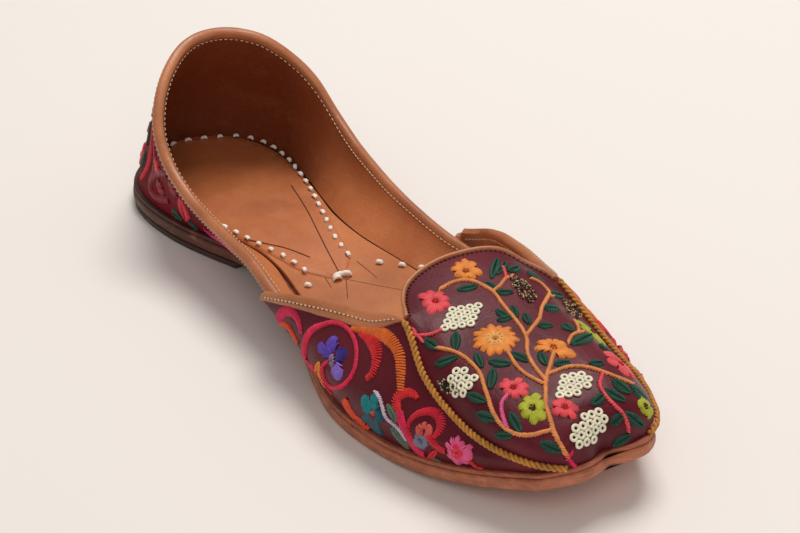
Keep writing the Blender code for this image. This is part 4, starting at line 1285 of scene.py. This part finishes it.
# The side below a wing and the back quarter: a stitch of Sewing and what it takes, in the picture's pixels
SIDES = [
    ("satin", "magenta", [(415.5, 270), (417.4, 264.8), (423, 263.5), (427.5, 267.6), (429.8, 273.2),
      (430.9, 278.8)], [6, 6, 5, 4, 2]),
    ("satin", "orange_red", [(416.9, 272.1), (421.9, 274.4), (425.3, 280), (428.6, 285.6)], [2.5, 3, 3,
      2]),
    ("satin", "rose", [(450, 299), (446.6, 301.3), (446, 305.8), (448.3, 312.5), (452.2, 317),
      (457.8, 317), (463.4, 313), (467.9, 305.8), (469.9, 296.8), (469.6, 287.8), (466.8, 280),
      (461.2, 273.8), (453.3, 271.2), (445.5, 273.2), (438.7, 276.6), (434.6, 282), (433, 290.1),
      (433, 296.8), (436.2, 302.8), (440.8, 310), (445.6, 317), (450.4, 323.4)], [2.5, 3, 3, 3.2, 3.2,
      3.2, 3, 3, 3, 3, 3.2, 4, 5.5, 7.5, 8.5, 8, 6, 4, 3, 2], 0.00052),
    ("lobe", "indigo", (453.5, 296), (463.3, 293), 11),
    ("lobe", "violet", (453, 295.5), (442.5, 287), 9),
    ("lobe", "violet", (452.5, 294), (452.8, 281), 9.5),
    ("lobe", "lilac", (454, 299), (458.5, 311), 9),
    ("lobe", "grey_lilac", (452.8, 299.5), (452.6, 293.5), 4),
    ("lobe", "grey_lilac", (452.8, 297.5), (453.2, 303), 4),
    ("leaf", "orange", (442.2, 307.5), (444, 299.3), 4.5),
    ("leaf", "orange", (443.8, 308), (447.2, 315.5), 4.5),
    ("satin", "flame", [(466.8, 276), (473.5, 276.4), (482.5, 277.7), (490.3, 281.1), (496, 286.7),
      (499.7, 293.4), (500.8, 301.3), (500.8, 310.2), (500.9, 319)], [4, 5.5, 8, 9.5, 9.5, 8.5, 8, 7,
      5.5], 0.00074, 0.00033),
    ("satin", "red", [(472.4, 280), (478, 282.2), (482.5, 287.8), (484, 294.5), (482.8, 301.3),
      (480.2, 308), (477.4, 310.5)], [2, 5, 7.5, 8, 7, 5, 3.5], 0.00066),
    ("satin", "orange_red", [(463, 325.5), (463.6, 330.5), (467.4, 336.4), (472.4, 341.8), (478, 347)],
      [2, 6.5, 9, 8, 2.5]),
    ("lobe", "deep_teal", (481, 335), (483.3, 350.8), 10),
    ("lobe", "deep_teal", (481.5, 335.5), (474, 341), 8.5),
    ("lobe", "deep_teal", (481.5, 335.5), (489.5, 337.5), 9),
    ("lobe", "teal", (481, 336), (474.2, 323), 8),
    ("lobe", "teal", (481.5, 335), (483.8, 321), 8),
    ("lobe", "salmon", (481.2, 336.5), (482.5, 333.2), 2.6),
    ("stem", "lilac_white", [(483.6, 320.3), (486.4, 324.8), (488.7, 332.7), (490.8, 338.3), (496, 342.8),
      (501.6, 348.4), (504.6, 353.2)], 3.4),
    ("leaf", "sage", (491.5, 328.8), (498.5, 341.5), 5),
    ("leaf", "sage", (494.5, 344.5), (506.5, 360), 6.5),
    ("satin", "red", [(512.6, 324.6), (509.4, 321.5), (503.8, 321.2), (499, 323.7), (497.4, 328.5),
      (499.9, 334.5)], [3, 5.5, 6.5, 7.5, 7, 4]),
    ("satin", "rose", [(499.9, 334), (501, 340.5), (504.4, 347.3), (507.6, 354), (512.8, 361.5),
      (518, 367.8)], [3.6, 3.8, 4.2, 4.6, 5, 4], 0.0005),
    ("satin", "crimson", [(524.8, 351.8), (528, 347.5), (529.3, 341.7), (527, 336), (521.9, 334),
      (516.1, 334.6), (509.9, 337.8), (506.6, 342.8), (506, 347.5)], [3.5, 7, 8.5, 8, 6.5, 5.5, 4.5, 3.6,
      3]),
    ("flower", "salmon", (517.5, 347.5), [(511.5, 348), (513.3, 343.5), (518, 341.3), (522.3, 344),
      (523.3, 348.5)], None),
    ("flower", "slate", (515.6, 354.5), [(510.8, 351), (515.5, 349.4), (520.5, 352), (520.3, 357.8),
      (515.5, 360), (511, 357.5)], "grey_lilac", 0.0004, 1.1, 4),
    ("satin", "crimson", [(519.5, 350.6), (523, 355.3), (527, 359.8), (532, 362)], [3, 4, 4, 3.4]),
    ("leaf", "red", (520.3, 368), (526.5, 361.3), 4.5),
    ("leaf", "sage", (522.5, 369), (529.8, 371.8), 3.4),
    ("flower", "pink", (541, 362.5), [(532.4, 356.5), (536.5, 352.5), (541.5, 351), (545.8, 355.5),
      (551.8, 359), (551.5, 365.3), (546.8, 371.3), (540.8, 371.8), (535.3, 367), (533.8, 361)], "salmon",
      0.0006, 1.0, 5, "rose"),
    ("stem", "red", [(550.2, 368.8), (554.3, 372.7), (558.5, 376.3)], 3.6),
    ("blossom", "crimson", (330.2, 162), 0.0034, 6, "amber"),
    ("satin", "wine", [(336.3, 167.5), (331.5, 166.5), (326.9, 169), (325, 175.4), (326.6, 181),
      (331.5, 184.8), (338, 186)], [3, 3.2, 3.6, 4, 4, 3.6, 3], 0.00056),
    ("blossom", "wine", (332.5, 176.5), 0.0032, 6, "red"),
    ("blossom", "wine", (341, 177), 0.0032, 6, "red"),
    ("leaf", "crimson", (346.8, 183.5), (350, 199), 7),
    ("leaf", "crimson", (350.5, 186.5), (359, 194), 7),
    ("leaf", "leaf", (340.8, 193.8), (347.5, 198), 6.5),
    ("leaf", "leaf", (350.8, 198.2), (362, 210), 7.5),
    ("satin", "gold", [(342.7, 202), (347.5, 205.5), (353, 209), (360, 212.8), (366.4, 216)], [3, 5.5, 6,
      5, 2.5]),
    ("satin", "hot_pink", [(364, 206), (369, 210.5), (374, 214.8), (379, 219), (383, 222.5)], [5, 8, 7, 8,
      4])]
# Scrolls and blossoms round the back of the heel, guessed but for the reds at the picture's edge: on both
# sides, then once on the middle line; in millimetres
HEEL = [
    ("satin", "crimson", [(29, 5), (32, 14), (31, 25), (25, 34), (17, 37), (10, 33), (8, 25), (12, 18.5),
      (18, 19), (20, 24)], [1.6, 2.2, 2.8, 3.2, 3.2, 2.8, 2.4, 2.0, 1.8, 1.4]),
    ("flower", "wine", (14.5, 26.5), [(11.5, 27), (13, 30), (16.5, 30), (18, 27), (15.5, 23.5),
      (12.5, 23.8)], "gold", 0.0005, 1.0, 5),
    ("flower", "red", (19.5, 9), [(15.5, 7.5), (16, 12), (19.5, 14), (23.5, 12), (24, 7.5), (20.5, 5)],
      "amber", 0.0006, 1.0, 5),
    ("flower", "pink", (9, 44), [(5, 43), (6.5, 47), (10, 48.4), (13, 45.5), (12.5, 41.5), (8.5, 40)],
      "amber", 0.0006, 1.0, 5),
    ("satin", "dusty_rose", [(36, 8), (38, 18), (36, 29), (31, 37), (24, 42.5), (17, 44)], [1.4, 2.2, 2.8,
      2.8, 2.2, 1.4]),
    ("satin", "orange_red", [(5, 6), (8, 10), (8, 15), (5, 19)], [1.2, 2.4, 2.4, 1.2]),
    ("leaf", "leaf", (26, 18), (22, 26), 3),
    ("leaf", "leaf", (26, 15), (25, 7), 3),
    ("leaf", "leaf", (12, 12.5), (10, 5.5), 3),
    ("leaf", "leaf", (5.5, 36), (3.4, 29), 3)]
HEEL_LINE = [
    ("stem", "gold", [(0, 4), (0.8, 14), (-0.6, 26), (0.4, 38)], 1.8),
    ("flower", "coral", (0.3, 43), [(-3.2, 42), (-2, 45.6), (1.6, 46), (3.6, 43), (1.8, 39.6),
      (-1.8, 39.8)], "amber", 0.0006, 1.0, 5),
    ("leaf", "leaf", (0.7, 15), (4, 22.5), 2.8),
    ("leaf", "leaf", (-0.1, 19), (-4, 26), 2.8)]
DYES = {
    "peach": (244, 150, 86), "coral": (250, 84, 92), "magenta": (230, 34, 90), "pink": (250, 100, 152),
    "leaf": (22, 84, 64), "orange": (255, 150, 58), "deep_orange": (196, 84, 30), "amber": (250, 176, 92),
    "red": (234, 40, 48), "lime": (190, 194, 48), "maroon": (86, 24, 34), "rose": (240, 38, 84),
    "orange_red": (250, 84, 40), "violet": (98, 66, 186), "indigo": (60, 38, 136), "lilac":
    (150, 112, 220), "grey_lilac": (150, 120, 150), "flame": (246, 116, 40), "teal": (4, 140, 146),
    "deep_teal": (0, 96, 114), "lilac_white": (222, 194, 212), "sage": (96, 124, 106), "crimson":
    (222, 30, 56), "salmon": (224, 92, 84), "slate": (120, 132, 152), "dusty_rose": (168, 10, 44), "wine":
    (150, 4, 34), "gold": (196, 128, 52), "hot_pink": (240, 50, 134)}
DARK_DYES = ("leaf", "deep_teal", "maroon", "wine", "indigo")


def sew_panel(s):
    """The tongue panel, whose vine isn't the same on its two sides."""
    s.flips = (False,)
    s.canvas.between = (SEAM_R + 0.16, SEAM_L - 0.22)
    for colour, width, points in VINES:
        s.stem(colour, points, width)
    for base, tip, width in LEAVES:
        s.leaf("leaf", base, tip, width)
    for colour, centre, tips, heart in FLOWERS:
        s.flower(colour, centre, tips, heart, FLOWER_HEART)
    for blossom in BLOSSOMS:
        s.blossom(*blossom)
    sun = []
    for k, a in enumerate(np.linspace(0, 2 * math.pi, SUN_TIPS, endpoint=False)):
        swell = 1 + 0.05 * (-1) ** k
        sun.append((SUN[0] + SUN_SIZE[0] * math.cos(a) * swell, SUN[1] + SUN_SIZE[1] * math.sin(a) * swell))
    s.flower("orange", SUN, sun, "deep_orange", SUN_HEART, 1.05, 10, "amber")
    for middle, run, rows in SEQUINS:
        s.sequins(middle, run, rows)
    for polygon, count in BEADS:
        s.scatter(polygon, count)
    s.canvas.between = None


def sew_table(s, table, view, flips):
    s.view, s.flips = view, flips
    kinds = {"satin": s.satin, "stem": s.stem, "leaf": s.leaf, "lobe": s.lobe, "flower": s.flower,
             "blossom": s.blossom}
    for kind, *values in table:
        kinds[kind](*values)


def build_embroidery():
    s = Sewing(Canvas(NETS))
    sew_panel(s)
    sew_table(s, SIDES, "photo", (False, True))
    sew_table(s, HEEL, "heel", (False, True))
    sew_table(s, HEEL_LINE, "heel", (False,))
    for colour, stitches in s.threads.items():
        shade = 0.45 if colour in DARK_DYES else 0.58
        stitches.make("sewn_" + colour, thread("thread_" + colour, DYES[colour], shade, 0.45))
    s.rings.make("sequin_rings", thread("sequin_thread", (250, 240, 208), 0.78, 0.38), "cord_thread")
    # the sequins' dark discs are painted shade; the dark beads here are their own colour
    n = Nodes("sequin_hole")
    s.darks.make("sequin_holes", n.finish(linear(40, 22, 16), 0.35), "cord_thread")
    n = Nodes("bead_brass")
    s.beads.make("brass_beads", n.finish(linear(190, 172, 116), 0.3, None, Metallic=0.35), "cord_thread")


build_embroidery()


# Cords, lacing and seam stitches

FINE = 0.0001
CORD_STEP, CORD_PITCH = 0.00026, 0.0030
# The white lacing round the heel pad: its path in the plan, in millimetres, and its number of stitches
LACE_PATH = [
    (-7.3, 139.5), (-8.5, 151), (-11, 161), (-13.1, 172), (-15.7, 183), (-18.1, 194), (-19.6, 206),
    (-19.4, 214.5), (-16.4, 223.5), (-11, 229.6), (-4.6, 232.4), (1.6, 233.5), (7.4, 231.7), (13.4, 228.8),
    (19.3, 225.0), (23.0, 218.5), (24.2, 204.5), (22.1, 192), (19.7, 182), (16.5, 172), (13.3, 162),
    (10.1, 152.5), (7.6, 139.5)]
LACE_COUNT = 42
# Thin cut lines of the pad and the sock in the picture, drawn dark for painted shade in the cuts, and their
# height over the sock
CUT_SHADE_LINES = [
    ([(424, 175), (430, 184), (435.6, 193.3), (442, 206), (448.5, 219), (457.5, 236)], PAD_T + FINE),
    ([(462, 241), (487, 246), (512, 250.5)], 0.0),
    ([(462.5, 241), (463.5, 255)], 0.0),
    ([(391, 212.5), (405, 215.6), (420, 219), (437, 225.4)], PAD_T + FINE),
    ([(437, 225.4), (445, 236), (452, 247)], 0.0),
    ([(470, 228.4), (477, 234), (484, 240)], 0.0)]
# The lacing's knot (start, end, thickness) and the middles of the loose stitches in front of it
KNOT = [((453.3, 240.2), (461, 237.4), 0.00085), ((458.5, 237.8), (466.5, 237.2), 0.00075),
        ((453.5, 241.2), (459.5, 239.8), 0.00060)]
LOOSE = [(486, 229.3), (502, 231.2), (516, 233.2), (435.6, 245.4)]
LOOSE_X, LOOSE_Y = 2.6, 0.4


def even(path, ups, step):
    d = distances(path)
    at = np.arange(0, d[-1], step)
    ups = points_at(ups, d, at)
    return points_at(path, d, at), ups / np.linalg.norm(ups, axis=1)[:, None]


def build_cords():
    """Two-ply gold cord over both seams of the tongue panel."""
    rows = np.linspace(0.0150, WING_START, 200)
    for name, seam, turn in (("cord_right", SEAM_R, 1), ("cord_left", SEAM_L, -1)):
        at = np.stack([rows, np.full(len(rows), seam)], 1)
        path, ups = even(TOP.points(at), TOP.normals(at), CORD_STEP)
        along, side = frame_at(path, ups)
        angle = np.arange(len(path)) * CORD_STEP / CORD_PITCH * 2 * np.pi * turn
        bag = Bag()
        for ply in (0.0, np.pi):
            across, over = np.cos(angle + ply)[:, None], np.sin(angle + ply)[:, None] + 0.55
            swing = across * side * 0.00054 + over * ups * 0.00040
            bag.add(*tube(path + swing + ups * 0.00034, 0.00050, 8, ups))
        rope = bag.make("rope_" + name, ROPE, "cord_thread")
        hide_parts(name)


def running(thread, path, ups, length, gap, radius, rise):
    """Even stitches along a line, with gaps between them."""
    path, ups = even(path, ups, FINE)
    stride, reach = int(round((length + gap) / FINE)), int(round(length / FINE))
    for i in range(0, len(path) - reach, stride):
        thread.add(path[i], path[i + reach], ups[i], radius, rise, ups[i + reach])


def sew_topline(cream):
    """Stitches along the topline's binding, outside and inside."""
    stations = np.linspace(ribs[0] + 0.001, ribs[-1] - 0.001, 400)
    line = np.stack([stations, 1 - 0.0024 / back_height(stations)], 1)
    points, ups = BACK.points(line), BACK.normals(line)
    running(cream, points + ups * (FOLD + 0.0003), ups, 0.0011, 0.0006, 0.00016, 0.00018)
    running(cream, points - ups * (WALL + FOLD + 0.0005), -ups, 0.0011, 0.0006, 0.00016, 0.00018)


def sew_cuffs(cream, dark):
    """Light stitches with dark marks between them, painted shade of the holes, and light ones in the lining.
    """
    back, half = np.array([0, 0.0004, 0]), np.array([0.0, 0.0002, 0.0])
    for flip in (False, True):
        rows = np.linspace(WING_START + 0.012, WING_TIP - 0.002, 200)
        b = SEAM_R - 0.62 * cuff_edge(rows)
        at = np.stack([rows, ROUND[-1] - b if flip else b], 1)
        points, ups = TOP.points(at), TOP.normals(at)
        running(cream, points + ups * (FOLD + 0.00035), ups, 0.0009, 0.0008, 0.00019, 0.00020)
        # dark marks at the stitch holes: painted shade
        path, up = even(points + ups * (FOLD + 0.0003), ups, 0.0017)
        for p, n in zip(path[1:], up[1:]):
            dark.add(p - back - half, p - back + half, n, 0.00022, 0.00010)
        running(cream, points - ups * (WALL + FOLD + 0.0002), -ups, 0.0011, 0.0006, 0.00016, 0.00018)


def sew_tongue(dark):
    """Dark stitches round the tongue, just inside its binding."""
    sweeps = np.linspace(-0.999, 0.999, 500)
    inset = BIND_SHARE * 1.22
    b = CROWN + sweeps * (SEAM_L - CROWN - inset)
    a = np.maximum(tongue_edge(b, inset) - 0.0008, WING_START - 0.004)
    at = np.stack([a, b], 1)
    points, ups = TOP.points(at), TOP.normals(at)
    path, up = even(points + ups * FINE, ups, FINE)
    along, side = frame_at(path, up)
    for i in range(4, len(path) - 8, 14):
        dark.add(path[i] - side[i] * 0.00030, path[i] + side[i] * 0.00030, up[i], 0.00024, 0.00014)


def lace_pad(lace):
    """The white lacing: pairs of short stitches, each turned a little from the path."""
    line = smooth_line([(x * MM, y * MM - CENTRE_Y) for x, y in LACE_PATH], 600)
    chance = np.random.default_rng(3)
    d = distances(line)
    for s in np.linspace(0.0015, d[-1] - 0.0015, LACE_COUNT):
        (x, y), (x2, y2) = points_at(line, d, [s, s + 0.0005])
        t = np.array([x2 - x, y2 - y, 0.0])
        t /= max(np.linalg.norm(t), 1e-9)
        angle = chance.uniform(-0.35, 0.35)
        cos, sin = math.cos(angle), math.sin(angle)
        t = np.array([t[0] * cos - t[1] * sin, t[0] * sin + t[1] * cos, 0.0])
        p = np.array([x, y, sock_height(np.array([(x, y)]))[0] + PAD_T + 0.0003])
        half = chance.uniform(0.00085, 0.00115)
        for off in (-0.00022, 0.00022):
            shift = np.array([-t[1], t[0], 0.0]) * off
            lace.add(p - t * half + shift, p + t * half + shift, np.array([0, 0, 1.0]), 0.00044, 0.00026)


def build_seams():
    cream, dark, lace = Thread(), Thread(), Thread()
    sew_topline(cream)
    sew_cuffs(cream, dark)
    sew_tongue(dark)
    lace_pad(lace)
    lace.make("lacing", WHITE, 7, 8)
    cream.make("seam_stitches", CREAM, 5, 6)
    # the cuffs' dark marks in this thread are painted shade of the stitch holes
    dark.make("stitch_holes", leather("stitch_dark", (46, 20, 14), (24, 10, 8), (70, 36, 26)), 5, 6)


def on_sock(px, over):
    """The sock's point that a picture point shows."""
    ray = ray_through(px)
    ray /= np.linalg.norm(ray)
    z = 0.009
    for _ in range(6):
        point = EYE + ray * ((z - EYE[2]) / ray[2])
        z = sock_height(point[None, :2], over)[0]
    return point


def build_lines():
    """Thin cut lines of the pad and the sock, dark with painted shade, the knot and the loose stitches in
    front of it.
    """
    bag = Bag()
    for points, over in CUT_SHADE_LINES:
        path = np.array([on_sock(p, over) for p in smooth_line(points, 40)])
        bag.add(*tube(path, 0.00016, 6))
    # the cut lines are dark tubes: painted shade in the cuts
    bag.make("cut_shade_lines", leather("cut_shade_line", (96, 46, 26), (70, 32, 18), (120, 64, 40)), "sock_leather")
    knot = Thread()
    up = np.array([0.0, 0.0, 1.0])
    for start, end, size in KNOT:
        knot.add(on_sock(start, 0.0008), on_sock(end, 0.0008), up, size, 0.0006)
    for x, y in LOOSE:
        start, end = (x - LOOSE_X, y - LOOSE_Y), (x + LOOSE_X, y + LOOSE_Y)
        knot.add(on_sock(start, 0.0004), on_sock(end, 0.0004), up, 0.0007, 0.0004)
    knot.make("lace_knot", WHITE, 9, 10)


build_cords()
build_seams()
build_lines()


# Floor, camera and light

def build_stage():
    n = Nodes("floor_paper")
    tone = n.mix(n.noise(3.0, 2.0), linear(241, 235, 229), linear(243, 237, 231))
    paper = n.finish(tone, 0.9)
    size = 4.0
    floor = bpy.data.meshes.new("floor")
    floor.from_pydata([(-size, -size, 0), (size, -size, 0), (size, size, 0), (-size, size, 0)], [],
                      [(0, 1, 2, 3)])
    floor.materials.append(paper)
    put("floor", floor)

    bpy.context.scene.view_settings.view_transform = "Standard"
    world = bpy.data.worlds.new("studio")
    bpy.context.scene.world = world
    world.use_nodes = True
    back = world.node_tree.nodes["Background"]
    back.inputs["Color"].default_value = (0.93, 0.91, 0.90, 1.0)
    back.inputs["Strength"].default_value = 0.34


def area_light(name, place, target, size, power):
    data = bpy.data.lights.new(name, "AREA")
    data.shape, data.size, data.energy, data.color = "DISK", size, power, (1.0, 0.97, 0.94)
    obj = put(name, data)
    obj.location = place
    obj.rotation_euler = (Vector(target) - Vector(place)).to_track_quat("-Z", "Y").to_euler()


def build_camera(centre_px, zoom):
    """The photograph's own camera, turned until the one shoe is in the middle, with a longer lens."""
    aim = AHEAD + RIGHT * (centre_px[0] - MID_X) / FOCAL_PX + DOWN * (centre_px[1] - MID_Y) / FOCAL_PX
    aim /= np.linalg.norm(aim)
    side = RIGHT - aim * (RIGHT @ aim)
    side /= np.linalg.norm(side)
    over = np.cross(side, aim)
    data = bpy.data.cameras.new("camera")
    sensor = 36.0
    data.sensor_width = sensor
    data.lens = sensor * FOCAL_PX * zoom / PHOTO_W
    data.clip_start = 0.05
    obj = put("camera", data)
    rows = [(side[k], over[k], -aim[k], EYE[k]) for k in range(3)]
    obj.matrix_world = Matrix((*rows, (0, 0, 0, 1)))
    bpy.context.scene.camera = obj


build_stage()
build_camera(AIM_PX, ZOOM)
area_light("key", (0.42, 0.26, 1.24), (0, 0, 0), 0.75, 12.3)
area_light("fill", (-0.5, -0.9, 0.9), (0, 0, 0.02), 0.8, 3.2)
